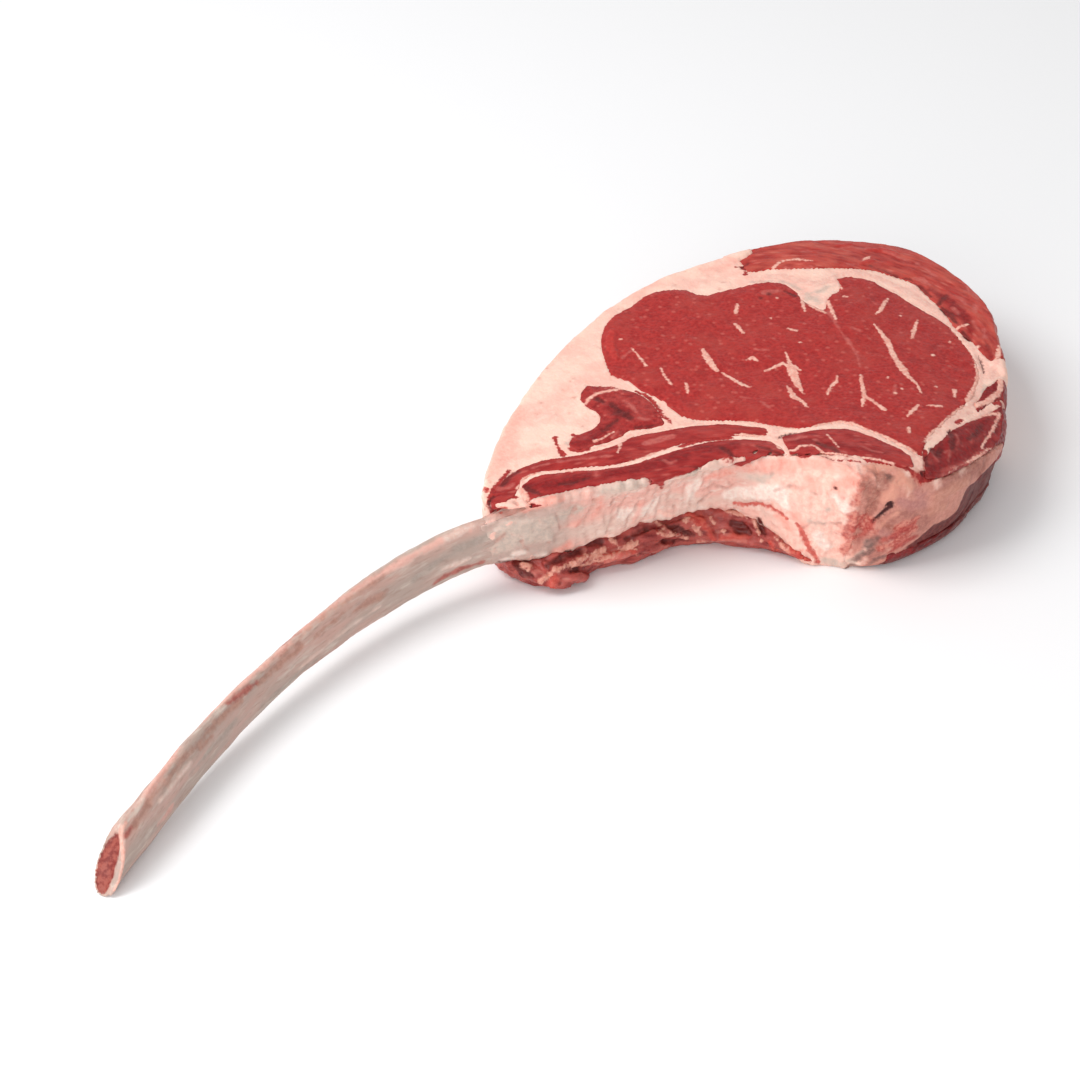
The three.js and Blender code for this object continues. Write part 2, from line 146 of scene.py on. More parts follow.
def smoothStep(low, high, values):
    share = np.clip((values - low) / (high - low), 0, 1)
    return share * share * (3 - 2 * share)


# Smooth noise, about -1 to 1, whose swells are size apart.
def swell(places, size, seed=0.0):
    spots = (places / np.array(size) + seed).tolist()
    return np.array([noise.noise(spot) for spot in spots])


# A sum of such swells, each given as its height, size and seed.
def swells(places, *waves):
    return sum(height * swell(places, size, seed) for height, size, seed in waves)


def nearest(tree, places):
    return np.array([tree.find_nearest(place)[3] for place in places.tolist()])


# The height of a surface straight above or below each place, very low where there is none.
def topOf(tree, places):
    none = -999.0
    down = Vector((0, 0, -1))
    hits = [tree.ray_cast(Vector((x, y, overAll)), down)[0] for x, y, z in places.tolist()]
    return np.array([none if hit is None else hit.z for hit in hits])


# 0 on what faces down, 1 on all else.
def notBelow(normals):
    return smoothStep(-0.5, -0.2, normals[:, 2])


# A merged copy of a solid, grown sideways and in height, and cut off below a place along x if one is given.
def grownCopy(nodeName, growSide, growUp, cutBelow=None):
    part = bmesh.new()
    part.from_mesh(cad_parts[nodeName].data)
    bmesh.ops.remove_doubles(part, verts=part.verts, dist=0.01 * mm)
    part.normal_update()
    for vert in part.verts:
        vert.co.x += vert.normal.x * growSide * mm
        vert.co.y += vert.normal.y * growSide * mm
        vert.co.z += vert.normal.z * growUp * mm
    if cutBelow is not None:
        everything = part.verts[:] + part.edges[:] + part.faces[:]
        bmesh.ops.bisect_plane(part, geom=everything, plane_co=(cutBelow * mm, 0, 0), plane_no=(1, 0, 0),
                               clear_inner=True)
        rim = [edge for edge in part.edges if edge.is_boundary]
        bmesh.ops.holes_fill(part, edges=rim, sides=0)
    loose = bpy.data.meshes.new("loose")
    part.to_mesh(loose)
    part.free()
    return loose


# A closed skin over such copies, as an object of its own.
def skinOver(name, copies, voxel):
    shape = bmesh.new()
    for loose in copies:
        shape.from_mesh(loose)
        bpy.data.meshes.remove(loose)
    mesh = bpy.data.meshes.new(name)
    shape.to_mesh(mesh)
    shape.free()
    piece = bpy.data.objects.new(name, mesh)
    bpy.context.scene.collection.objects.link(piece)
    remesh = piece.modifiers.new("skin", "REMESH")
    remesh.mode = "VOXEL"
    remesh.voxel_size = voxel * mm
    remesh.use_smooth_shade = True
    graph = bpy.context.evaluated_depsgraph_get()
    skin = bpy.data.meshes.new_from_object(piece.evaluated_get(graph))
    piece.modifiers.clear()
    piece.data = skin
    bpy.data.meshes.remove(mesh)
    skin.name = name
    return piece


# Splits the faces whose corners all pass a test, for fine painting there.
def refineWhere(piece, passes):
    shape = bmesh.new()
    shape.from_mesh(piece.data)
    shape.verts.ensure_lookup_table()
    edges = {edge for face in shape.faces if all(passes[vert.index] for vert in face.verts)
             for edge in face.edges}
    bmesh.ops.subdivide_edges(shape, edges=list(edges), cuts=1, use_grid_fill=True)
    shape.to_mesh(piece.data)
    shape.free()


# Moves a piece's corners, and rests it on the table.
def layDown(piece, places):
    places[:, 2] = np.maximum(places[:, 2], 0.0)
    moveTo(piece, places)


def finishPiece(piece, material, slot, *nodeNames):
    piece.data.materials.clear()
    piece.data.materials.append(material)
    for face in piece.data.polygons:
        face.use_smooth = True
    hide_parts(*nodeNames)
    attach(piece, "root")
    print("stage:", piece.name, "made,", len(piece.data.polygons), "faces")


strokeReach = 3.0                    # millimetres beyond its edge to which a stroke still counts


# How far every place lies inside a set of strokes: the half width there less the distance, at least
# -strokeReach. A stroke is a list of pixels of the photograph, each with the half width in millimetres.
def insideStrokes(places, strokes, flat=False):
    inside = np.full(len(places), -strokeReach)
    axes = 2 if flat else 3
    spots = places[:, :axes]
    for stroke in strokes:
        knots = np.array([onSteak(across, down)[:axes] for across, down, half in stroke])
        halves = np.array([half for across, down, half in stroke])
        reach = halves.max() + strokeReach
        near = np.all((spots > knots.min(0) - reach) & (spots < knots.max(0) + reach), axis=1)
        close = spots[near]
        best = halves[0] - np.linalg.norm(close - knots[0], axis=1)
        for a, b, halfA, halfB in zip(knots, knots[1:], halves, halves[1:]):
            step = b - a
            share = np.clip((close - a) @ step / max(step @ step, 1e-9), 0, 1)
            gap = np.linalg.norm(close - a - share[:, None] * step, axis=1)
            best = np.maximum(best, halfA + (halfB - halfA) * share - gap)
        inside[near] = np.maximum(inside[near], best)
    return inside


# What all pieces share, so that their edges still meet: slow swells on the cut face, and the wall's foot
# drawn in under the soft corner.
sharedShape = {
    "faceHeights": (26, 42),         # the swells of the cut face set in between these
    "faceSwells": [(0.5, 26.0, 0.0), (0.28, 9.0, 5.0)],
    "footPlace": (164.0, -82.0),
    "footReach": 15.0,
    "footHeights": (33, 25),         # the foot is drawn in fully below the second
    "footInward": (-2.5, 3.1),
}


def shapeTogether(places):
    level = smoothStep(*sharedShape["faceHeights"], places[:, 2])
    places[:, 2] += level * swells(places * np.array([1, 1, 0]), *sharedShape["faceSwells"])
    away = np.linalg.norm(places[:, :2] - np.array(sharedShape["footPlace"]), axis=1)
    low = smoothStep(*sharedShape["footHeights"], places[:, 2])
    share = np.exp(-(away / sharedShape["footReach"]) ** 2) * low
    places[:, :2] += share[:, None] * np.array(sharedShape["footInward"])


# The rib's middle line as smooth curves over x, fitted to its solid.
ribCorners = np.array([vert.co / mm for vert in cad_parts["rib_bone"].data.vertices])
ribSide = np.polyfit(ribCorners[:, 0], ribCorners[:, 1], 4)
ribHeight = np.polyfit(ribCorners[:, 0], ribCorners[:, 2], 4)


# Places measured along the rib, across it and above its middle, for grain that follows it.
def alongRib(places, stretch):
    x, y, z = places.T
    slope = np.polyval(np.polyder(ribSide), x)
    lean = np.sqrt(1 + slope ** 2)
    aside = (y - np.polyval(ribSide, x)) / lean
    along = x * lean + slope * aside
    return np.stack([along / stretch, aside, z - np.polyval(ribHeight, x)], axis=1)


# Places measured round the eye of the meat, outwards from it and in height.
def roundEye(places, stretch):
    usualReach = 75.0                # turns are measured as lengths at this distance
    low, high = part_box("rib_eye")
    middle = [(a + b) / 2 / mm for a, b in zip(low, high)]
    x, y = places[:, 0] - middle[0], places[:, 1] - middle[1]
    reach = np.hypot(x, y)
    return np.stack([np.arctan2(y, x) * usualReach / stretch, reach, places[:, 2]], axis=1)


# What is painted on the cut face, straight through the meat: channel, then named strokes.
faceStrokes = {
    "pale": {
        "longLeft": [(703, 350, 0.7), (706, 357, 1.5), (712, 366, 1.5), (717, 371, 1.0)],
        "longLeftEnd": [(722, 373, 0.4), (733, 380, 0.8), (742, 385.5, 1.0), (750, 387.5, 0.4)],
        "star": [(785.5, 353, 0.3), (789, 362, 0.7), (792, 370, 2.2), (796, 381, 1.6), (803, 394, 0.4)],
        "starLeft": [(765, 371, 0.5), (774, 368, 0.9), (783, 364, 0.7), (790, 367, 1.2)],
        "starRight": [(792, 366, 1.0), (801, 371, 0.5)],
        "underStar": [(787, 387, 0.5), (794, 397, 1.4), (801, 401, 1.0), (808, 407.5, 0.4)],
        "dash1": [(747, 360, 0.4), (752.5, 358.5, 1.2), (757, 361, 0.5)],
        "dash2": [(735, 324, 0.5), (739, 328, 0.9), (743, 333, 0.5)],
        "dash3": [(737.5, 305, 0.6), (735.5, 313, 0.8)],
        "dash4": [(788, 329.5, 0.4), (793, 331, 0.8), (797, 332, 0.5)],
        "dots": [(799.5, 343.4, 0.7)],
        "hook": [(837.5, 377, 0.4), (836, 383, 0.7), (831, 386, 0.8), (827.5, 395, 0.5)],
        "fork": [(860.5, 376, 0.6), (862, 386, 0.7), (864, 396, 1.0), (862, 406, 0.5)],
        "forkRight": [(864, 396, 0.9), (873, 402, 0.6), (884, 410, 1.1)],
        "longRight": [(874, 325, 0.4), (880, 332, 0.8), (887, 341, 1.3), (895, 358.5, 1.1), (903, 369.8, 1.9),
            (908, 377, 1.0), (917, 385, 0.6), (921.5, 394, 0.4)],
        "curl": [(888, 299, 0.4), (884.5, 303, 0.9), (880.5, 311, 0.8), (875.5, 315, 0.4)],
        "tick": [(917, 321, 0.4), (914, 331, 1.0), (912, 339, 0.5)],
        "lowTick": [(918, 406, 0.5), (913, 411, 1.0), (908, 416.5, 0.6)],
        "lowDash": [(928, 406, 0.6), (941, 407.5, 0.8)],
        "lowDot": [(908.5, 428, 0.7), (909, 432, 0.6)],
        "dotRight": [(954.6, 390.4, 1.0), (955, 397, 0.4)],
        "dotHigh": [(932.8, 356, 0.9)],
        "dotHigher": [(950, 342, 0.7)],
        "dotSmall": [(844.5, 296.5, 0.6), (847, 297, 0.5)],
        "dotLeft": [(771, 318.5, 0.6)],
        "dotTop": [(776.6, 298, 0.6)],
        "dotFar": [(900.7, 317, 0.6)],
        "leftTick": [(632, 349, 0.3), (639, 357, 0.5), (646, 366, 0.7)],
        "leftDot": [(621, 340, 0.7)],
        "leftDash": [(661, 368, 0.3), (664, 376, 0.5), (671, 385, 0.5)],
        "leftDash2": [(686, 384, 0.6), (688, 393, 0.6)],
        "speck1": [(901.8, 389.3, 0.6)],
        "speck2": [(888, 378, 0.7)],
        "speck3": [(895, 394, 0.6)],
        "speck4": [(936, 387, 0.6)],
        "notchLeg": [(801.6, 291.4, 0.9), (802.6, 302.2, 0.7), (804.8, 311, 0.6)],
        "notchFoot": [(808, 304.4, 0.7), (816.7, 308.7, 0.9), (825.4, 313, 0.7)],
        "notchTail": [(827.6, 302.2, 0.9), (831.9, 311, 0.8), (836, 320, 0.5)],
        "notchLip": [(827.6, 281.6, 0.9), (836.3, 281.6, 1.0), (841.7, 288, 0.7)],
        "underEye": [(676, 424, 1.8), (690, 423.2, 2.1), (700, 423.4, 1.9), (711, 423.7, 1.0),
            (730, 423.7, 0.6), (740, 422.5, 0.6), (753, 423.2, 0.8), (765, 426.4, 1.0), (776, 427.7, 1.2),
            (788, 428.3, 0.8), (800, 429.3, 0.4)],
        "underEyeRight": [(814, 426.6, 0.5), (825.5, 424.3, 0.8), (839, 422.6, 1.0), (853, 423.7, 1.0),
            (862, 428.5, 1.0), (870, 431.5, 0.8), (884, 436.5, 0.9), (900, 445, 1.0), (914, 454, 1.3)],
        "underCap": [(765, 277, 1.9), (782, 276, 2.1), (800, 281, 2.3), (815, 284, 2.3), (830, 279, 1.8),
            (846, 274, 1.6), (862, 273.5, 1.6), (880, 279, 1.7), (900, 288, 2.1), (918, 298, 2.3),
            (931, 307, 2.1), (941, 315, 1.2), (950, 326, 1.0), (959, 336, 1.3), (970, 347, 1.7),
            (976, 358, 1.4), (980, 375, 1.6), (978, 387, 1.9), (970, 402, 2.3)],
        "cornerSeam": [(967.3, 409.3, 2.6), (955.8, 415.7, 1.8), (944.4, 424.6, 1.3), (931.6, 434.8, 1.1),
            (925.2, 442.5, 0.8)],
        "cornerBranch": [(972.4, 406.8, 1.4), (987.7, 401.7, 1.3), (997.9, 394, 1.2), (1000.5, 387, 1.2),
            (1000, 378, 1.2)],
        "stripLine": [(519, 488, 0.9), (523, 480, 0.7), (529, 476.2, 0.7), (538, 474, 0.6), (556, 472.2, 0.6),
            (573, 471.8, 0.6), (594, 468.3, 0.55), (610, 467.3, 0.5), (623, 464.8, 0.5), (634, 461.3, 0.6),
            (646, 456.4, 0.6), (660, 451.4, 0.55), (677, 447.3, 0.3)],
        "stripHook": [(519, 488, 1.2), (524, 493, 1.4), (526.5, 499, 1.3), (523, 507, 0.9)],
        "rightLine": [(734.8, 435.2, 0.3), (741.7, 435.2, 0.7), (754.3, 436.3, 0.8), (764.6, 436.9, 0.8),
            (773, 435.6, 1.1)],
        "rightPost": [(776, 429, 1.2), (775, 434, 1.7), (774, 438, 1.3), (776, 443, 0.7), (780, 448, 0.6),
            (788.7, 451.3, 0.6), (794.5, 450.1, 0.6), (800, 446.7, 0.6), (811.7, 445.5, 0.5),
            (818.6, 449, 0.6), (823.2, 452.4, 0.6), (839.2, 454.7, 0.5), (850.7, 455.8, 0.5),
            (870, 458.1, 0.6), (884, 461.5, 0.6), (893, 464, 0.8)],
        "sideFleck": [(826.6, 435, 0.3), (830, 438.6, 0.35), (839.2, 447.8, 0.3)],
        "nuggetHook": [(594.3, 441, 0.7), (601.3, 438.8, 0.5), (607, 435, 0.45), (613.9, 431.1, 0.3)],
        "nuggetRim": [(585.8, 403.8, 0.7), (588.7, 398.9, 0.8), (595.7, 394.2, 0.8), (608.3, 391.1, 0.8),
            (622.3, 389.6, 0.7)],
        "nuggetLine": [(592, 449.5, 0.9), (597, 446.8, 0.8), (609, 444, 0.8), (619.5, 442.4, 0.8),
            (629.3, 435.6, 1.3), (636, 432.4, 1.6), (650.4, 431.5, 1.1), (660, 429.5, 1.0),
            (672, 427.4, 1.1)],
        "nuggetSpur": [(619.8, 443.5, 0.7), (619.6, 447.5, 0.5), (618, 453, 0.3)],
        "capStreak": [(773.4, 268.6, 0.8), (778.8, 263.2, 0.7), (784.2, 261, 0.6), (797.2, 259.9, 0.8),
            (812.4, 262.1, 0.3)],
        "capFleck": [(863, 261, 0.6), (866.6, 258.9, 1.0), (870, 257, 0.5)],
        "capForkLine": [(955.8, 329.6, 0.8), (961, 326, 0.8), (967.3, 325, 0.6)],
        "capNodes": [(975.3, 348.4, 0.5), (977.6, 346.8, 0.9)],
        "capRim": [(1000, 349, 0.8), (996.5, 362, 1.2), (991, 377, 1.6)],
        "cornerFrame": [(973.7, 418.3, 0.5), (983.9, 414.4, 0.7), (999.2, 413.8, 0.7), (996.6, 422, 0.6),
            (992.8, 429.7, 0.6), (989, 436, 0.5), (985, 441, 0.5), (981.3, 448.9, 0.4)],
        "tipNode": [(914, 456, 1.6), (918.9, 460.5, 2.0), (921, 468, 1.2)],
    },
    "film": {
        "eyeSeam": [(828, 311, 0.9), (836, 326, 0.5), (846, 339, 0.45), (856, 352, 0.4), (860, 368, 0.3)],
        "faint1": [(741, 398, 0.6), (749, 399, 0.6)],
        "faint2": [(761, 403, 0.6), (768, 408, 0.6)],
        "faint3": [(756, 350, 0.5), (768, 351, 0.5)],
        "faint4": [(852, 329, 0.6), (860, 331, 0.6)],
        "faint5": [(896, 386, 0.5), (894, 395, 0.5)],
        "faint6": [(622, 358, 0.4), (630, 352, 0.4)],
        "faint7": [(938, 346, 0.5), (944, 346, 0.4)],
        "faint8": [(765, 293, 1.6), (780, 291, 1.0)],
        "stripLilac": [(646, 443, 1.6), (658, 440, 1.9), (672, 436.5, 1.5)],
        "stripPink": [(560, 462, 0.7), (588, 459, 0.6), (612, 456, 0.5)],
        "stripPinkLow": [(533, 468, 0.5), (548, 464, 0.5)],
        "sideLilac": [(786, 440, 0.9), (795, 439, 1.3), (806, 437, 0.6)],
        "sideNet": [(815, 440, 0.4), (828, 447, 0.4), (846, 452, 0.4)],
        "sideNetRight": [(860, 446, 0.5), (872, 451, 0.4), (882, 453, 0.4)],
        "capPink": [(786, 268, 1.1), (797, 270, 1.1), (812, 268, 0.6)],
        "capStreak1": [(838, 249, 0.4), (852, 247, 0.6), (866, 250, 0.4)],
        "capStreak2": [(842, 262, 0.4), (850, 265, 0.5), (858, 264, 0.3)],
        "capStreak3": [(884, 252, 0.5), (897, 257, 0.8), (910, 263, 0.5)],
        "capStreak4": [(880, 270, 0.5), (890, 272, 0.5)],
        "capStreak5": [(916, 264, 0.5), (926, 270, 0.7), (936, 277, 0.4)],
        "capTan": [(802, 252, 0.5), (808, 251.2, 0.8), (812, 252, 0.4)],
        "capGrey": [(914, 279, 1.2), (921, 280, 1.6), (929, 285, 0.9)],
        "capRight1": [(956, 296, 0.6), (966, 305, 0.7)],
        "capRight2": [(953, 309, 0.8), (958, 314, 0.7)],
        "capRight3": [(975, 306, 1.0), (975, 312, 1.1)],
        "capRight4": [(984, 330, 0.8), (985, 338, 0.8)],
        "capRight5": [(973, 322, 0.5), (978, 331, 0.5)],
        "capOuter": [(968, 284, 1.4), (973, 289, 1.6), (979, 296, 1.0)],
        "nuggetPink1": [(627, 403, 0.8), (632, 407, 1.0), (636, 413, 0.7)],
        "nuggetPink2": [(618, 431, 0.6), (612, 437, 0.5)],
        "nuggetPink3": [(640, 419, 0.9), (648, 420, 0.7)],
        "stripEnd": [(499, 489, 1.3), (508, 488, 1.1), (513, 484, 0.8)],
        "stripLowPink": [(596, 477, 0.5), (596, 470, 0.4)],
        "stripLowPink2": [(664, 460, 0.7), (670, 463, 1.0), (675, 461, 0.7)],
        "cornerPink1": [(955.8, 434.8, 0.5), (958.8, 441.2, 0.5), (956, 446, 0.3)],
        "cornerPink2": [(944.4, 452.7, 0.4), (949.5, 451.4, 0.4), (948.2, 461.6, 0.3)],
        "cornerPink3": [(932.9, 451.4, 0.5), (934.2, 456.5, 0.5), (938, 461.6, 0.3)],
        "cornerPink4": [(966, 429, 0.5), (972, 436, 0.5), (971, 444, 0.3)],
    },
    "dark": {
        "blotch1": [(761.4, 297.9, 0.9)],
        "blotch2": [(769, 294.5, 0.9)],
        "pit": [(938.8, 304, 0.8), (942, 299.7, 1.2), (946, 296.3, 0.7)],
        # capEdge1 to capEdge7 darken the cap along its edges by the fat seams: painted shade in the recesses.
        "capEdge1": [(904, 279, 0.4), (910, 279, 0.7), (916, 284, 0.5)],
        "capEdge2": [(919, 286, 0.8), (925.6, 291, 1.2), (931, 296, 0.7)],
        "capEdge3": [(942, 308, 1.2), (949, 314, 1.9), (956, 322, 1.0)],
        "capEdge4": [(963, 332, 1.0), (966, 337, 1.2), (970, 341, 0.6)],
        "capEdge5": [(978, 356, 0.7), (981, 364, 0.8), (984, 373, 0.5)],
        "capEdge6": [(741, 268, 0.5), (748, 264, 0.5)],
        "capEdge7": [(870, 266, 0.4), (885, 271, 0.5), (897, 277, 0.5)],
        "wedgeEnd": [(974.5, 405, 1.0), (980, 402.5, 0.6)],
        "eyeHigh": [(785, 291, 0.6), (796, 296, 0.5)],
        "nugget1": [(612, 404, 1.2), (618, 412, 2.0), (630, 418, 1.5)],
        "nugget2": [(597, 399, 1.2), (603, 402, 0.7)],
        "nugget3": [(603, 431, 0.8), (610, 425, 1.2), (617, 420, 1.0)],
        "nugget4": [(636, 427, 0.8), (648, 426, 1.2), (657, 424, 0.7)],
        "stripLeft": [(503, 485, 1.0), (509, 477, 1.1), (518, 471, 0.9)],
        "stripTip": [(488, 505, 0.8), (494, 497, 0.8)],
        "stripLow1": [(527, 487, 1.1), (534, 491, 1.4), (541, 494, 0.8)],
        "stripLow2": [(560, 484, 0.8), (572, 483, 1.3), (588, 479, 0.9)],
        "stripLow3": [(718, 447, 0.8), (728, 451, 1.6), (733, 456, 0.8)],
        "stripLow4": [(757, 446, 0.8), (768, 449, 1.1), (780, 454, 0.7)],
        "side1": [(778, 438, 0.6), (788, 434, 0.9), (800, 433, 0.6)],
        "side2": [(818, 443, 0.9), (826, 446, 1.2), (838, 451, 0.8)],
        "side3": [(823, 457, 0.4), (840, 460, 0.5), (860, 462, 0.4)],
        "corner1": [(933, 450, 1.3), (937, 455, 1.6), (941, 450, 1.0)],
        "corner2": [(950, 432, 1.2), (953, 440, 1.3), (952, 450, 1.2)],
        "corner3": [(925.5, 456, 0.7), (926.5, 464, 0.9), (922, 475, 0.6)],
        "corner4": [(982, 424, 0.9), (978, 432, 1.2), (970, 440, 0.9)],
    },
    "deep": {
        "lowStripLeft": [(528, 488, 2.6), (545, 485, 3.2), (565, 482, 3.4), (588, 478, 3.2)],
        "lowStripMiddle": [(605, 475, 2.6), (630, 470, 2.8), (655, 464, 2.8), (682, 455, 3.2)],
        "lowStripRight": [(700, 448, 3.2), (720, 450, 3.2), (734, 447, 2.2)],
        "upStrip": [(505, 470, 2.0), (525, 466, 1.0)],
        "nuggetMiddle": [(612, 408, 3.0), (625, 414, 3.4)],
        "nuggetFoot": [(578, 444, 2.0), (590, 440, 2.2), (600, 430, 2.4)],
        "cornerAll": [(935, 450, 4.0), (950, 440, 4.2), (970, 432, 3.6), (985, 422, 2.0)],
        "wedgeAll": [(994, 387, 1.8), (985, 397, 2.0), (977, 404, 1.2)],
        "sideAll": [(790, 440, 2.2), (815, 442, 2.0), (850, 448, 2.0), (885, 453, 1.6)],
        "capInner": [(930, 290, 1.0), (942, 297, 2.0), (952, 304, 2.4), (962, 316, 2.2), (972, 331, 1.8)],
        "capRightEdge": [(986, 346, 1.4), (990, 356, 1.2), (988, 366, 0.8)],
    },
    "bright": {
        "capTop": [(868, 250, 1.4), (882, 250, 2.2), (896, 255, 1.4)],
        "capTop2": [(838, 246, 1.2), (850, 245, 1.6)],
        "capRed": [(862, 264, 1.0), (868, 262, 1.6), (874, 261, 0.8)],
        "eyeEdge": [(612, 332, 1.5), (610, 345, 1.8), (616, 358, 1.2)],
    },
    "lean": {
        "nuggetEdge": [(636, 391.5, 0.5), (645, 395, 1.0), (653, 402, 1.2), (659, 410, 1.1), (663, 418, 0.6)],
        "stripMiddle": [(700, 447, 2.0), (715, 448, 2.6), (730, 446, 2.2), (742, 447, 1.6)],
        "nuggetRing": [(583, 401.7, 0.9), (586.5, 397, 0.7), (590, 391.8, 0.9), (591.5, 388.3, 1.0),
            (601.3, 387.2, 0.7), (610, 387.3, 0.6), (617, 389, 0.4)],
        "spike": [(555, 438.1, 1.1), (556, 443.4, 0.5), (559.2, 449.4, 0.7), (563, 455, 1.4)],
        "bridge": [(572, 449, 1.6), (581, 450.5, 1.9), (589, 449, 1.3)],
        "footLeft": [(572.5, 434.5, 0.9), (580, 436, 1.4), (590, 432, 1.4)],
        "footTip": [(573, 447.5, 1.0), (578, 443, 1.3)],
        "tailRight": [(664, 416, 0.5), (668, 421, 0.8), (672, 424.5, 0.5)],
        "mergeStrips": [(680, 447, 0.8), (695, 441, 1.6), (712, 438.5, 1.6), (730, 438, 1.2)],
        "mergeLow": [(735, 441, 1.4), (752, 442.5, 1.4), (768, 444, 1.2)],
        "aboveRightLine": [(730, 429, 1.4), (748, 430.5, 1.4), (766, 432, 0.8)],
        "capDrop": [(745.2, 270, 0.5), (745.6, 274.5, 1.0)],
        "capSpike": [(735.5, 267.4, 0.35), (743, 267, 0.8)],
        "capStart": [(744, 269, 1.2), (752, 262, 1.4)],
        "seamIsland": [(956.5, 422.3, 1.2), (961, 419.5, 0.9)],
        "redPatch": [(797, 454.5, 0.7), (805, 454.5, 1.2), (813, 452.5, 0.8)],
        "tipBit": [(485, 488, 0.6), (487, 490, 0.7)],
        "stripTop": [(509, 471, 0.8), (498, 484, 1.1), (492, 494, 1.2), (488, 503, 1.0)],
        "cornerTail": [(925.5, 452, 1.2), (926, 462, 1.4), (923, 472, 1.0), (921.4, 481, 0.5)],
        "cornerEdge": [(993, 403, 1.2), (1000, 404, 1.4)],
    },
    "flush": {
        "fatLeft": [(492, 470, 5.0), (505, 440, 4.0), (520, 410, 3.0)],
        "fatLow": [(515, 455, 3.5), (545, 450, 2.0)],
        "fatTop": [(705, 272, 2.0), (735, 262, 2.5)],
        "tip": [(486, 498, 1.6), (487, 503, 1.2)],
        "seam1": [(745, 276, 0.8), (762, 281, 0.8)],
    },
    "grey": {
        # behindEye is a painted shadow line along the eye's upper border.
        "behindEye": [(751.7, 282, 0.5), (768, 281, 0.5), (784, 282.2, 0.5), (794, 285.5, 0.6),
            (800, 289, 0.6)],
        "notchRim": [(806, 293.5, 0.6), (813, 292, 0.7), (821, 291.6, 0.8), (824.5, 287.5, 0.8),
            (830, 286, 0.8), (835.2, 284.9, 0.7)],
        "notchWeb": [(809, 297.5, 1.6), (815, 299, 1.8), (820, 303, 1.3)],
        "nuggetSpot": [(565, 443.6, 0.8), (569, 444.6, 0.6)],
        "seamSpot": [(692, 423.6, 0.5), (697, 423.8, 0.5)],
        # seamLine is a painted shadow line between the cap and its seam.
        "seamLine": [(905, 291, 0.5), (925, 301, 0.6)],
        "cornerLine": [(984, 386, 0.6), (982, 394, 0.6)],
    },
}

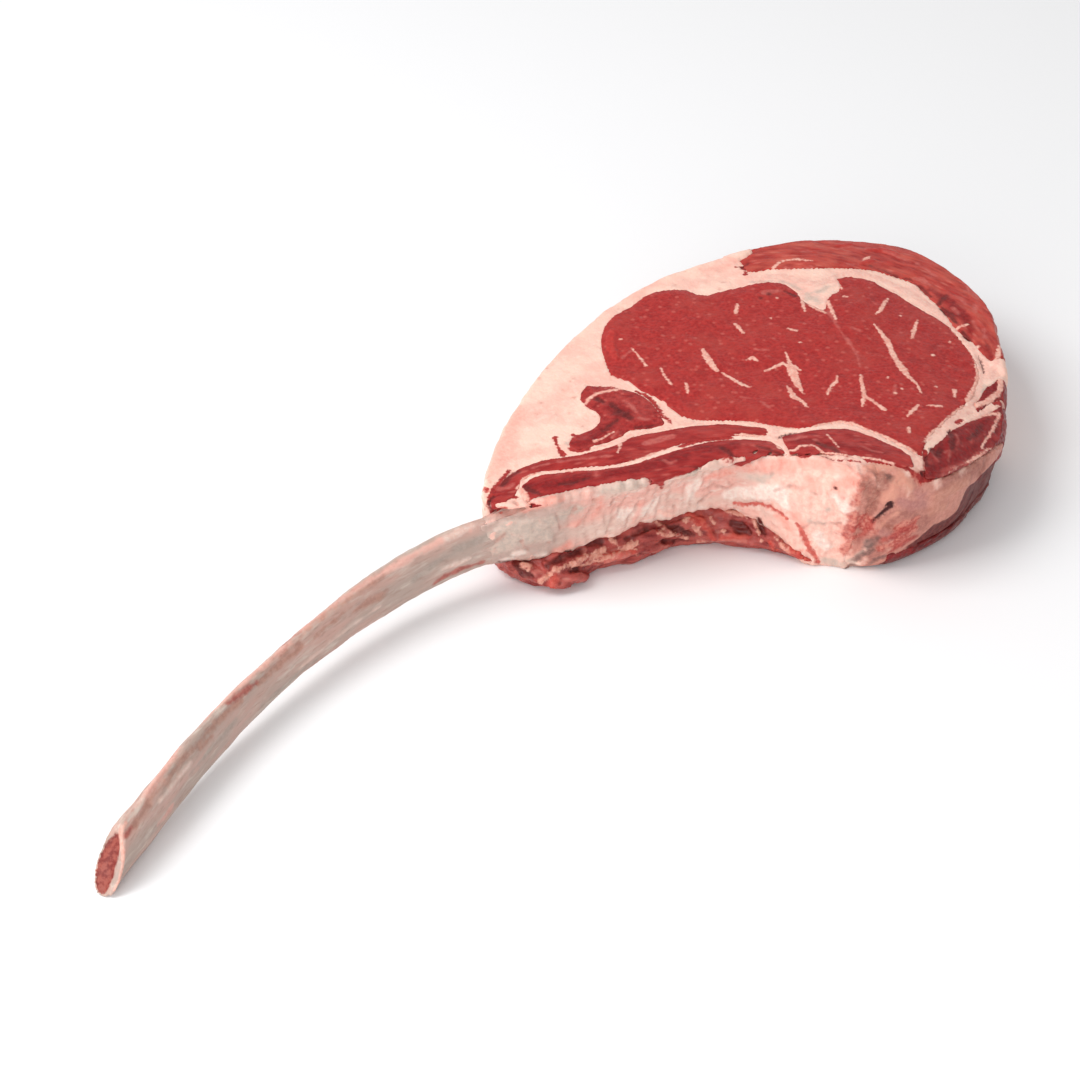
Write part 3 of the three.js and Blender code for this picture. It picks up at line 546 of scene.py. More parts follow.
# What is painted on the front, the right wall and the rib, round the places it is laid on.
sideStrokes = {
    "pale": {
        "cornerRim": [(939.3, 476.9, 0.5), (952, 469.3, 0.7), (958.4, 468, 0.7), (968.6, 462.9, 0.7),
            (978.8, 456.5, 0.7), (987.7, 450, 0.6), (996.6, 446.3, 0.5)],
        "tendonLong": [(675, 516, 0.9), (685.9, 520.2, 1.3), (696.7, 526.7, 1.3), (700, 533.2, 0.9)],
        "tendonLeft": [(541, 581, 1.3), (547.4, 575.4, 1.3), (555, 569, 1.0)],
        "strand1": [(557.2, 571, 0.7), (573.4, 562.4, 1.0), (586.4, 556, 0.8)],
        "strand2": [(572.3, 566, 0.7), (588.6, 562.4, 0.9)],
        "tanOval": [(590, 557, 1.2), (596, 554, 2.0), (603, 550.5, 1.6)],
        "tanTip": [(523, 566, 1.2), (528, 567.5, 1.4)],
        "ring": [(530, 561, 0.6), (532, 557, 0.5), (535.5, 560, 0.5)],
        "pinkLow": [(658.8, 532.5, 0.8), (670.7, 535.4, 1.5), (685.9, 537.6, 1.0)],
        "pinkNib": [(635, 549, 0.6), (638, 556, 0.5)],
        "nodeRight": [(723.8, 531, 0.9)],
        # The next stroke is a painted highlight along the orange strand.
        "strandHighlight": [(710.8, 517.5, 0.5), (714, 523, 0.6)],
        "fibre2": [(754.2, 521.3, 0.5), (759.6, 532.2, 0.6), (761.8, 540.8, 0.6)],
        "fibre3": [(698, 541, 0.5), (712, 543, 0.6)],
        "yellowStrip": [(797.8, 535.2, 0.6), (800, 541, 0.9), (801.7, 545, 0.6)],
        "lowSpot": [(808.4, 562, 0.7)],
        "tipHang": [(606, 534, 1.0), (611, 539, 1.3), (615.5, 543, 0.8)],
        "tendonTop": [(658, 511, 0.8), (668, 514.5, 1.0), (676, 516.5, 1.0)],
        "edgeRight": [(726, 510.5, 0.7), (741, 514, 1.1), (754, 517, 0.7)],
        "lightPatch": [(621, 549, 1.0), (629, 546, 1.6), (637, 542.5, 0.9)],
        "fibre4": [(655, 521, 0.5), (661, 526, 0.8), (664, 531, 0.5)],
        "fibre5": [(588, 562, 0.4), (606, 557, 0.6), (622, 552.5, 0.4)],
        "fibre6": [(776, 537, 0.5), (782, 545, 0.7), (790, 553, 0.5)],
        "fleck": [(494.5, 535, 0.7), (492.5, 542, 1.1), (489.5, 547, 1.2)],
        "glint": [(508, 526, 0.35), (513.5, 524, 0.45)],
    },
    "film": {
        "cornerBand": [(925, 481, 0.8), (940, 473, 1.0), (965, 464, 1.0), (985, 452, 0.9)],
        "node": [(584.3, 550.5, 1.2)],
        "strandPink": [(534.4, 573, 1.2), (541, 572, 0.8)],
        "lowPink": [(595, 563, 0.9), (612, 558, 1.0), (628, 554, 0.8)],
        "lowPink2": [(700, 541, 1.0), (726, 541, 0.9), (745, 541, 0.7)],
        "upper": [(661, 524, 0.8), (668, 530, 0.8)],
    },
    "bright": {
        "lump": [(553, 575, 1.6), (555, 580, 2.4), (553, 587, 1.6)],
        "redBand": [(595, 561, 1.6), (617, 555.5, 1.8), (633, 551, 1.4)],
        "orangeStrand": [(688, 515.5, 1.6), (699, 521, 2.2), (707.6, 529.5, 2.0), (714, 538, 1.2)],
        "rightMass": [(788.3, 538, 2.4), (795.9, 549, 2.8), (807.4, 557, 2.0), (815, 562, 1.0)],
        "rightLump": [(772, 545, 1.6), (776, 549, 1.4)],
        "middle": [(722, 537, 1.4), (748, 536, 1.4)],
    },
    "dark": {
        "leftTip": [(501, 566, 0.9), (517, 566.5, 1.3)],
        "crimson": [(520, 570, 1.2), (525, 573.5, 1.8), (531, 576, 1.2)],
        # underHang, hollow, upperGap, deepHollow and bottomLine are painted shade in hollows, gaps and under
        # the hanging tip.
        "underHang": [(587.5, 543.5, 1.4), (594, 541.6, 1.6), (600.5, 542, 1.2)],
        "strand": [(547.4, 566.7, 0.8), (562.6, 557, 1.4), (582, 549.4, 1.2)],
        "crimson2": [(572, 570.5, 1.2), (578, 568.5, 1.2)],
        "lump": [(552, 590, 0.8), (560, 583, 0.8)],
        "hollow": [(669, 526, 1.2), (677, 528.5, 1.8), (686, 531.5, 1.4), (693, 535, 0.8)],
        "upperGap": [(626, 538, 0.8), (636, 534, 1.0), (648, 529.5, 0.8)],
        "deepHollow": [(733, 524, 1.6), (740, 528, 2.8), (748, 531, 1.8)],
        "post": [(758.5, 519, 0.9), (760.5, 526, 1.2), (763.5, 534, 1.0)],
        "bottomLine": [(662, 541, 0.6), (676, 541, 0.7), (692, 541.5, 0.5)],
        "maroon": [(808, 566, 0.8), (822, 567, 0.7)],
        "hairMark": [(688, 465.8, 0.35), (695.7, 466.6, 0.6), (700, 466.2, 0.4)],
        "dot": [(835.4, 487.3, 0.7), (837, 488.5, 0.5)],
        "sole": [(980, 494, 1.5), (962, 519, 1.8), (940, 535, 1.8), (915, 547, 1.4)],
    },
    "deep": {
        "soleAll": [(985, 480, 3.0), (962, 515, 3.4), (930, 540, 3.0), (890, 556, 2.4), (865, 566, 2.0)],
        "cornerWall": [(930, 472, 1.6), (960, 456, 2.0), (990, 440, 2.0)],
    },
    "lean": {
        "drip": [(648, 478, 1.6), (657, 478.5, 2.2), (661, 484, 1.2), (662, 488, 0.5)],
        "spikes": [(702, 462, 1.0), (716, 459, 1.4), (730, 458, 1.4), (735, 455, 0.8)],
        "spikes2": [(745, 452.5, 0.9), (750, 452, 0.8)],
        "spikes3": [(758, 452, 1.0), (768, 453.5, 1.0), (786, 455, 0.6)],
        "redBit": [(797, 455.5, 0.8), (805, 456, 1.3), (813, 454, 0.8)],
        "underSide": [(823, 457, 0.5), (840, 459.6, 0.6), (860, 462, 0.5)],
        "cornerTail": [(922, 474, 1.4), (921, 481, 0.8), (920, 486, 0.3)],
        "endOfSide": [(893, 463, 1.0), (902, 467, 1.6), (911, 471, 1.4)],
        "tail": [(918, 476, 1.2), (925, 479, 1.6), (932, 477.5, 1.2)],
        "leftTip": [(486.5, 507, 0.8), (492, 502, 1.2), (497, 497, 1.2)],
        "leftEnd": [(503, 498, 1.0), (511, 497, 1.2), (517, 496, 0.8)],
    },
    "red": {
        "redCrease": [(733.6, 502.5, 0.8), (743.4, 505, 1.0), (751, 504.2, 0.9), (761.8, 504, 1.0),
            (772.6, 508, 1.0), (780, 511.6, 1.0), (787, 518, 0.8)],
        "redCreaseLow": [(797.8, 523.5, 0.9), (802.6, 531.4, 1.2), (807.4, 542.9, 1.3), (812.2, 552.4, 1.3),
            (818, 562, 1.1)],
        "boneStreak": [(228, 703.5, 0.7), (237, 696.5, 1.3), (246, 690, 1.2), (256.5, 682.9, 0.7)],
        "boneLow": [(435, 583.3, 0.7), (444, 577, 1.2), (454.6, 571.8, 1.2), (470, 566, 0.9),
            (483, 562.5, 0.7)],
        "tipPatch": [(131, 828.5, 0.8), (128.5, 832.5, 1.0), (126, 837, 0.7)],
        "ridgeEnd": [(472, 522, 0.3), (482, 516, 0.5), (494, 509, 0.6), (505, 507.5, 0.8)],
        "bonePoint": [(283, 644, 0.5), (292, 637, 0.7), (300, 632, 0.5)],
        "orange": [(484, 489, 1.0), (487, 491.5, 1.2)],
    },
    "flush": {
        "topLeft": [(488, 512, 1.4), (505, 509, 2.0), (525, 505, 2.0), (550, 501, 1.6)],
        "topMiddle": [(575, 498, 1.2), (590, 496, 1.2)],
    },
    "blush": {
        "fold1": [(602, 497, 1.0), (599, 508, 1.6), (594, 516, 1.4)],
        "orangePatch": [(571, 524, 1.8), (577, 522, 2.0)],
        "sheathTop": [(525, 509, 1.2), (540, 502, 1.4), (560, 497, 1.0)],
        "pinkLow": [(556, 552, 1.6), (570, 545, 1.8)],
        "folds": [(641, 501, 0.7), (638, 511, 0.8), (632, 522, 0.6)],
        "sheathMiddle": [(705, 478, 1.5), (725, 472, 2.0), (760, 467, 2.5), (790, 466, 3.0)],
        "chineSpot": [(808, 478, 1.8), (811.2, 483, 2.6), (806, 487, 1.5)],
        "chineBand": [(838, 482, 1.6), (846, 482, 2.6), (855, 480, 2.6), (863, 477, 2.0)],
        "chineLow": [(845, 541, 2.4), (846, 550, 2.0)],
        "chineTop": [(800, 462, 2.4), (830, 466, 2.4), (850, 470, 2.2)],
        "chineRight": [(838, 486, 2.6), (841, 494, 2.0)],
        "chineMiddle": [(796, 516, 2.2), (804, 524, 1.8)],
        "orangeLow": [(777, 515.5, 1.4), (783, 519, 1.4), (790, 527, 1.8)],
        "lineLeft": [(496, 518, 0.4), (483, 524, 0.5), (470, 530.5, 0.5)],
        "ridgeTip": [(147, 795, 1.5), (163, 770, 1.5), (178, 747, 1.4)],
        "ridgeMiddle": [(203, 719, 1.2), (222, 700, 1.2), (250, 676, 1.3), (290, 643, 1.3)],
        "ridgeHigh": [(302, 629, 1.3), (347, 594, 1.3), (392, 567, 1.3), (440, 541, 1.3)],
        "faceTip1": [(172, 806, 1.0), (166, 816, 1.2), (158, 824, 1.0)],
    },
    # Painted shade over the right wall, which faces away from the key lamp.
    "shade": {
        "wallLeft": [(872, 468, 3.0), (868, 485, 5.0), (866, 508, 5.0), (860, 532, 5.0), (858, 556, 4.0)],
        "wallMiddle": [(893, 470, 5.0), (893, 495, 7.0), (886, 522, 7.0), (878, 548, 5.5)],
        "wallRight": [(920, 484, 6.0), (920, 505, 8.0), (908, 530, 6.0)],
        "wallEnd": [(950, 478, 6.0), (948, 500, 7.0), (932, 520, 5.0)],
        "wallFar": [(985, 458, 6.0), (975, 482, 5.0)],
    },
    # Deeper painted shade, low and to the right on the right wall.
    "lowWallShade": {
        "low": [(868, 556, 4.0), (879, 545, 5.0), (888, 529, 4.5), (893, 515, 3.5), (911, 513, 3.5),
            (926, 522, 4.0)],
        "lowRight": [(905, 535, 3.5), (918, 527, 3.5)],
        "right": [(944, 484, 3.5), (956, 481, 4.0), (968, 474, 4.0), (982, 463, 4.0)],
        "left": [(868, 512, 3.0), (864, 528, 3.0), (858, 545, 3.0)],
    },
    "buff": {
        "top": [(867, 468, 1.4), (876, 466, 2.0), (890, 467, 2.0)],
        "band": [(901, 473, 2.0), (896, 484, 2.6), (889, 496, 2.4), (884, 500, 1.4)],
        "middle": [(906, 481, 2.2), (911, 488, 1.6)],
        "underSlit": [(897, 512, 0.7), (889, 518, 0.9), (880, 526, 0.8)],
    },
    "brown": {
        "wallTop": [(874, 470, 1.6), (884, 474, 2.6), (892, 478, 1.6)],
        "wallHigh": [(866, 484, 2.6), (874, 492, 3.6), (872, 504, 3.0), (866, 514, 2.0)],
        "wallHigh2": [(880, 480, 2.4), (886, 488, 2.4)],
        "underHole": [(880, 522, 1.4), (888, 527, 1.8), (896, 528, 1.4)],
        "wallFar": [(955, 474, 1.0), (968, 468, 1.4), (978, 463, 1.0)],
        "wallEnd": [(978, 472, 1.2), (984, 462, 1.0)],
    },
    "lilac": {
        "middle": [(902, 503, 2.4), (913, 506, 3.2), (924, 504, 2.4)],
        "high": [(915, 490, 2.0), (922, 496, 2.0)],
        "low": [(892, 538, 1.6), (884, 532, 1.4)],
    },
    "rust": {
        "edgeHigh": [(858, 488, 1.2), (857.5, 496, 1.6), (856, 505, 1.8)],
        "edge": [(855, 512, 2.2), (851, 521, 3.0), (846, 532, 2.8), (851, 539, 2.6)],
        "edgeLow": [(848, 546, 2.6), (846, 553, 2.0)],
        "wall1": [(862, 517, 2.6), (868, 527, 2.6), (872, 520, 1.6)],
        "wall2": [(884, 547, 2.6), (900, 540, 3.2), (914, 528, 2.4)],
        "wall3": [(898, 528, 1.6), (908, 524, 2.0), (918, 518, 1.4)],
        "corner": [(912, 474, 1.2), (918, 480, 1.6)],
    },
    "stain": {
        "streak1": [(882, 541, 1.2), (892, 537, 1.8), (903, 530, 2.0), (914, 523, 1.4)],
        "streak2": [(890, 551, 1.2), (903, 543, 1.8), (914, 537, 1.4)],
        "streak3": [(860, 536, 0.8), (868, 529, 1.2), (873, 523, 0.8)],
        "edge": [(845, 534, 1.0), (852, 531, 1.4), (857, 525, 0.9)],
        "corner": [(913, 474, 0.9), (919, 478, 1.4)],
    },
    # Dark grey-brown on the right wall; low along its foot, under the soft corner, it is painted shade.
    "olive": {
        "low1": [(862, 548, 1.4), (870, 544, 2.0), (878, 540, 1.4)],
        "low2": [(856, 560, 1.6), (864, 554, 1.8), (872, 550, 1.4)],
        "low3": [(862, 567, 0.9), (874, 561, 1.2), (884, 556, 1.0)],
        "foot": [(846, 568, 1.0), (856, 566, 1.2)],
        "high": [(889, 474, 1.2), (894, 480, 1.4)],
    },
    # A hole in the right wall: a shallow pit painted near black, as painted shade of a deeper hole.
    "hole": {
        "hole": [(890.5, 505.5, 1.9)],
        "slit": [(888.5, 508, 1.1), (881, 515, 0.9), (872.5, 522, 0.6)],
    },
    # Brownish lines along the membrane's folds, carved in and painted darker: painted shade in the creases.
    "crease": {
        "creaseA": [(700, 491, 0.4), (707.6, 487.7, 0.6), (714, 484.5, 0.6), (727, 487.7, 0.6),
            (734.7, 483.4, 0.5), (745.5, 481.2, 0.3)],
        "creaseB": [(698.9, 502.9, 0.5), (703.2, 499.6, 0.6), (710.8, 492, 0.4)],
        "creaseC": [(612.4, 496.3, 0.5), (611.8, 501, 0.6), (611.4, 506, 0.4)],
        "creaseD": [(638.2, 500.7, 0.35), (633.9, 509.4, 0.45), (629.5, 515.9, 0.45), (626.3, 526.7, 0.3)],
        "creaseE": [(506, 536.4, 0.4), (500.8, 540.7, 0.6), (495.4, 545, 0.5)],
        "spot1": [(521.4, 543, 0.6), (524, 546, 0.3), (528, 550.5, 0.6)],
        "spot2": [(548.5, 541.8, 0.6)],
        "spot3": [(600.5, 524.5, 0.5)],
        "spot4": [(674, 506, 0.5)],
        "loopShade": [(514, 501, 0.7), (517.5, 504, 0.8)],
        "fold1": [(594, 500, 0.3), (589, 512, 0.5), (584, 524, 0.4)],
        "fold2": [(624, 498, 0.3), (619, 508, 0.5), (612, 520, 0.5), (606, 532, 0.3)],
        "fold3": [(655, 497, 0.3), (651, 506, 0.4), (645, 516, 0.3)],
        "fold4": [(575, 506, 0.3), (571, 516, 0.4)],
        "fold5": [(556, 512, 0.3), (559, 522, 0.4), (560, 530, 0.3)],
        "bellyFold": [(776, 490, 0.3), (790, 486, 0.5), (806, 489, 0.4), (818, 495, 0.3)],
        "chineFold": [(800, 528, 0.3), (813, 522, 0.4), (829, 524, 0.4), (842, 522, 0.3)],
        "lowLine": [(560, 556, 0.3), (580, 546, 0.4), (600, 537, 0.3)],
    },
    "brownBone": {
        "ridgeLine": [(134, 825, 1.0), (143, 813, 1.3), (150.4, 799.7, 1.2), (167.6, 780, 1.4),
            (179, 766, 1.5), (202, 740, 1.4), (222, 716, 1.0)],
        "boneLine1": [(180, 762.5, 0.5), (203, 739.5, 0.6), (218.3, 722, 0.5)],
        "boneLine2": [(258, 684, 0.8), (272, 671, 1.2), (289, 657, 1.2), (303, 645, 0.8)],
        "boneLine3": [(310, 641, 0.5), (335, 620, 0.6), (352, 607, 0.4)],
        "bonePatch": [(352, 613, 0.8), (363, 606, 1.6), (375, 599, 1.8), (386, 592, 1.2)],
        "bonePatch2": [(200, 748, 0.8), (212, 736, 0.8)],
        # boneUnder darkens the bone's lower flank: painted shade under the bone.
        "boneUnder": [(316, 672, 0.7), (340, 652, 0.9), (368, 630, 0.7)],
        "boneSide": [(221, 718, 0.8), (231, 709.5, 1.4), (241, 701, 1.0)],
        "boneSide2": [(282, 658, 0.8), (291, 649.5, 1.3), (300, 642, 0.8)],
        "ridgeLine2": [(300, 637, 0.4), (330, 612, 0.6), (355, 595, 0.7), (384, 576, 0.6)],
    },
    "tan": {
        "wall": [(938, 496, 3.4), (952, 488, 3.6), (964, 482, 3.0)],
        "wallLow": [(933, 510, 2.4), (944, 506, 2.4)],
        "wallHigh": [(905, 482, 2.0), (912, 490, 2.4)],
    },
    "marrow": {
        "end": [(117, 838, 1.6), (108, 855, 3.8), (101, 872, 4.6), (99, 885, 3.6)],
    },
    "rim": {
        "loop": [(126, 823, 0.5), (122, 829, 0.7), (119.8, 835, 0.7), (121, 844, 0.7), (123.5, 854, 0.7),
            (123, 867, 0.7), (120, 880, 0.7), (114.7, 890, 0.6)],
    },
    "grey": {
        "left1": [(510, 532, 4.0), (530, 528, 4.5), (550, 522, 4.0)],
        "left2": [(500, 550, 3.0), (520, 541, 3.5), (545, 534, 3.5)],
        "right": [(560, 515, 3.0), (578, 508, 2.6)],
        "bandHigh": [(750, 478, 1.2), (762, 479.5, 1.5), (772, 474, 1.2)],
        "lobeShade": [(688, 474, 1.8), (694, 470, 1.6)],
        "chineLine": [(807.4, 520, 0.5), (817, 522, 0.8), (823.7, 523, 0.5)],
        "chineDot": [(828.4, 509.4, 0.5)],
        "chineFoot": [(822, 560, 1.6), (834, 562, 2.0), (842, 565, 1.4)],
        "cornerFoot": [(852, 562, 1.4), (862, 553, 1.6), (868, 545, 1.2)],
        "topEdge": [(603, 490, 1.2), (625, 486, 1.4), (645, 484, 1.2)],
        "boneFace1": [(414, 580, 0.8), (437, 563, 1.0), (455, 553.5, 0.9)],
        "boneFace2": [(262, 706, 0.8), (290, 682, 1.2), (318, 659, 1.0)],
        "boneFace3": [(190, 775, 0.8), (212, 748, 1.0), (236, 722, 0.8)],
        "boneEnd": [(455, 549, 1.4), (475, 543, 2.0), (492, 538, 1.8)],
    },
    # Paler membrane and bone; glint1, glint2, faceLight and faceLight2 are painted highlights.
    "white": {
        "swirl": [(498, 532, 0.6), (503, 531, 0.7)],
        "glint1": [(510, 525.5, 0.4), (513.5, 524, 0.5)],
        "glint2": [(523, 523, 0.4), (527, 522, 0.5)],
        "low": [(516, 556, 1.6), (522, 554, 1.8)],
        "low2": [(538, 556, 1.0), (545, 553, 1.0)],
        "lowEdge": [(503, 563.5, 0.6), (513.8, 561.3, 0.6)],
        "middle": [(620, 512, 2.6), (645, 510, 2.8), (655, 500, 2.2)],
        "lobe": [(690, 488, 2.4), (697, 481, 2.6), (690, 496, 2.0)],
        "belly": [(730, 494, 3.0), (755, 492, 3.8), (780, 492, 3.6), (785, 504, 2.8)],
        "tip": [(610, 536, 1.4), (616, 541, 1.0)],
        "chine1": [(840, 498, 3.2), (846, 508, 2.6)],
        "chine2": [(818, 535, 2.4), (826, 545, 2.4)],
        "chineFleck": [(836, 477.5, 0.7), (839.5, 480, 0.6)],
        "topLoop": [(530, 500.8, 0.5), (546, 500.6, 0.5)],
        "ridge1": [(403, 560.4, 1.0), (426, 549, 1.2), (449, 537.5, 1.3), (472, 526, 1.3), (493, 520.5, 1.2)],
        "ridge2": [(305, 632, 0.5), (350, 597, 0.6), (395, 565, 0.7)],
        "ridge3": [(137, 807, 0.7), (152, 785, 0.8), (166, 765, 0.7)],
        "ridge4": [(212, 712, 0.4), (240, 686, 0.4), (285, 645, 0.4)],
        "ridge5": [(393, 569, 0.8), (402, 564.5, 1.3), (412, 559.5, 0.9)],
        "tipFace": [(152, 800, 0.8), (160, 789, 1.2), (168, 777, 0.8)],
        "greenish": [(443, 568, 0.9), (456, 564, 1.1), (470, 558, 0.8)],
        "faceLight": [(160, 800, 1.0), (172, 786, 1.0), (190, 762, 0.8)],
        "faceLight2": [(300, 668, 0.5), (340, 634, 0.6), (380, 606, 0.5)],
    },
}

# Where the fat and the membrane lap over the edge of the lean, on the sides that show.
rindStrokes = {
    "outerFat": {
        "corner": [(923, 488, 3.4), (944, 484.5, 3.8), (964, 478, 4.6), (983, 468, 5.4), (999, 457, 6.0)],
        "capEnd": [(731, 258, 3.6), (740, 255, 3.2), (748, 251.5, 2.0)],
    },
    "boneSheath": {
        "stripEdge": [(516, 505, 1.4), (530, 503, 2.2), (553, 498.5, 2.4), (577, 494, 2.6), (604, 489, 2.7),
            (628, 485, 2.4), (648, 482, 1.6)],
        "stripEdgeRight": [(673, 477, 1.2), (690, 472, 1.6), (710, 466, 1.8), (728, 461.5, 1.8),
            (744, 458.5, 0.8)],
    },
}

# Where ragged fat laps over the lean on the hidden sides: the cap's ends, and low on the right-back wall.
fatLaps = {
    "ragged": [(7, 12.0, 6.0), (2, 4.0, 2.0)],       # swells of the edge, as height, size and seed
    "capEnd": {"leftOf": 163, "behind": 50, "below": 37},
    "capStart": {"rightOf": 200, "before": -41, "below": 44},
    "lowWall": {"rightOf": 186, "below": 24, "middle": -28, "half": 30},
}

# How high the dark lean reaches up the wall under the soft corner: place along x, then the height.
hemLine = [(98, -4), (105, 1), (110, 7), (115, 10), (121, 12.5), (127, 17), (136, 16.5), (141, 17.5),
           (144.5, 26.5), (152, 30.5), (172, 31), (179, 27), (185, 17), (192, 12), (198, 3)]


def tone(red, green, blue):          # a colour as a screen shows it, 0 to 255
    def straight(level):
        share = level / 255
        return share / 12.92 if share <= 0.04045 else ((share + 0.055) / 1.055) ** 2.4
    return (straight(red), straight(green), straight(blue), 1.0)


def newPaint(channel, tint, other, strength, soft, waver, lift=0):
    return {"channel": channel, "tint": tone(*tint), "other": tone(*other), "strength": strength,
            "soft": soft, "waver": waver, "lift": lift}


# The paints of each kind of surface, in the order they are laid on: channel, two tints, how well it covers,
# then in millimetres the width of its edge, how far that wanders and how far the paint stands proud.
leanPaints = [
    newPaint("deep", (120, 11, 15), (146, 26, 27), 0.86, 1.8, 1.0),
    newPaint("bright", (196, 58, 50), (178, 46, 42), 0.75, 1.0, 0.7, 0.5),
    newPaint("film", (206, 112, 102), (188, 88, 82), 0.65, 0.85, 0.6),
    newPaint("dark", (86, 20, 20), (108, 30, 28), 0.8, 0.9, 0.6, -0.15),
    newPaint("pale", (242, 190, 172), (230, 160, 144), 0.95, 0.42, 0.42, 0.12),
]
underPaints = [
    newPaint("deep", (120, 34, 32), (138, 44, 40), 0.7, 1.8, 1.2),
    newPaint("bright", (190, 66, 56), (206, 92, 76), 0.8, 1.2, 1.0, 0.5),
    newPaint("film", (210, 132, 120), (196, 112, 100), 0.75, 0.9, 0.9, 0.3),
    # darker lean, and painted shade in the hollows
    newPaint("dark", (78, 22, 20), (98, 34, 30), 0.85, 0.9, 0.8, -0.7),
    newPaint("pale", (226, 166, 146), (206, 136, 118), 0.9, 0.6, 0.7, 0.6),
]
skinPaints = [
    newPaint("creamy", (242, 198, 182), (236, 182, 166), 1.0, 8.0, 2.0),
    newPaint("bare", (174, 150, 139), (186, 158, 147), 0.85, 13.0, 2.5),
    # painted shade on the right wall, which faces away from the key lamp
    newPaint("shade", (198, 130, 115), (210, 145, 129), 1.0, 2.0, 1.4),
    # deeper painted shade, low and to the right on the right wall
    newPaint("lowWallShade", (146, 84, 74), (166, 102, 90), 0.62, 2.6, 1.8),
    # paler membrane, with painted highlights at the glints
    newPaint("white", (242, 226, 214), (236, 208, 196), 0.8, 1.2, 0.9, 0.45),
    newPaint("grey", (190, 172, 160), (204, 182, 168), 0.85, 1.8, 1.2),
    newPaint("flush", (238, 168, 152), (242, 182, 166), 0.65, 3.0, 1.5),
    newPaint("blush", (232, 146, 130), (236, 166, 150), 0.7, 1.6, 1.0, 0.15),
    newPaint("tan", (198, 132, 112), (208, 146, 126), 0.75, 2.0, 1.2, 0.4),
    newPaint("brown", (158, 92, 78), (178, 116, 100), 0.85, 1.5, 1.2, -0.4),
    newPaint("lilac", (176, 114, 108), (190, 128, 120), 0.8, 1.7, 1.2, -0.2),
    # dark grey-brown; low at the right wall's foot it is painted shade
    newPaint("olive", (112, 78, 72), (140, 98, 90), 0.85, 1.0, 1.0, -0.2),
    newPaint("buff", (226, 160, 138), (218, 148, 128), 0.8, 1.5, 1.2, 0.3),
    newPaint("rust", (180, 64, 54), (216, 132, 114), 0.78, 1.6, 2.0),
    newPaint("stain", (162, 48, 44), (186, 74, 64), 0.85, 1.2, 1.0),
    newPaint("hem", (98, 36, 33), (124, 58, 53), 1.0, 0.9, 0.9, -0.3),
    # brownish fold lines, with painted shade in the creases
    newPaint("crease", (172, 114, 102), (194, 138, 124), 0.65, 0.9, 0.6, -0.7),
    newPaint("red", (184, 56, 46), (206, 92, 78), 0.9, 0.6, 0.5, -0.35),
    newPaint("lean", (150, 34, 32), (176, 52, 47), 1.0, 0.4, 0.5),
    newPaint("dark", (82, 20, 20), (102, 32, 30), 1.0, 0.7, 0.5, -0.5),
    # painted shade of a hole, in a shallow pit
    newPaint("hole", (46, 5, 7), (72, 14, 14), 1.0, 0.6, 0.4, -1.0),
    newPaint("pale", (242, 196, 180), (236, 180, 165), 0.9, 0.4, 0.4, 0.15),
]
bonePaints = [
    # paler bone, with painted highlights on its face
    newPaint("white", (232, 208, 196), (224, 190, 176), 0.75, 1.2, 0.8, 0.35),
    newPaint("grey", (158, 144, 134), (172, 156, 146), 0.65, 1.3, 0.8, -0.2),
    newPaint("blush", (216, 150, 136), (228, 172, 158), 0.65, 1.2, 0.8),
    newPaint("brownBone", (160, 106, 90), (182, 130, 112), 0.65, 1.1, 0.9, -0.3),
    newPaint("red", (150, 56, 46), (178, 88, 76), 0.8, 0.9, 0.7, -0.2),
    newPaint("marrow", (126, 46, 40), (158, 80, 68), 1.0, 0.5, 0.3, -0.8),
    newPaint("rim", (236, 184, 168), (222, 160, 144), 0.85, 0.5, 0.2, 0.35),
    newPaint("pale", (236, 208, 200), (228, 196, 188), 0.9, 0.5, 0.3, 0.3),
]


# Lays the strokes of each paint on a piece as channels, and gives how far they lift its surface where that
# doesn't face down. The strokes of the cut face run straight down to faceDownTo.
def paintPiece(piece, places, paints, faceDownTo=0.0, given=None):
    lift = np.zeros(len(places))
    through = places[:, 2] >= faceDownTo
    for paint in paints:
        channel = paint["channel"]
        inside = insideStrokes(places, sideStrokes.get(channel, {}).values())
        if through.any():
            across = insideStrokes(places, faceStrokes.get(channel, {}).values(), flat=True)
            inside = np.maximum(inside, np.where(through, across, -strokeReach))
        if channel in (given or {}):
            inside = given[channel](inside)
        keepValues(piece, channel, inside)
        lift += paint["lift"] * smoothStep(-0.8, 0.8, inside)
    return lift * notBelow(normalsOf(piece))


# How far the fat or the membrane covers each place, 0 to 1.
def rindOver(places, *pieces):
    strokes = [stroke for piece in pieces for stroke in rindStrokes[piece].values()]
    inside = insideStrokes(places, strokes)
    if "outerFat" in pieces:
        x, y, z = places.T
        ragged = swells(places, *fatLaps["ragged"])
        end, start, low = fatLaps["capEnd"], fatLaps["capStart"], fatLaps["lowWall"]
        laps = [
            [end["leftOf"] + ragged - x, y - end["behind"], end["below"] - z],
            [x - start["rightOf"], 0.6 * ragged + start["before"] - y, start["below"] - z],
            [x - low["rightOf"] + ragged, low["below"] + ragged - z,
             low["half"] + 2 * ragged - abs(y - low["middle"])],
        ]
        inside = np.maximum.reduce([inside] + [np.minimum.reduce(lap) for lap in laps])
    return smoothStep(-0.5, 0.5, inside)


def newMaterial(name, **sockets):
    material = bpy.data.materials.new(name)
    material.use_nodes = True
    shader = material.node_tree.nodes["Principled BSDF"]
    for socket, value in sockets.items():
        shader.inputs[socket.replace("_", " ")].default_value = value
    return material, material.node_tree, shader


def put(tree, kind, inputs=None, **settings):
    node = tree.nodes.new("ShaderNode" + kind)
    for key, value in settings.items():
        setattr(node, key, value)
    for key, value in (inputs or {}).items():
        if isinstance(value, bpy.types.NodeSocket):
            tree.links.new(value, node.inputs[key])
        else:
            node.inputs[key].default_value = value
    return node


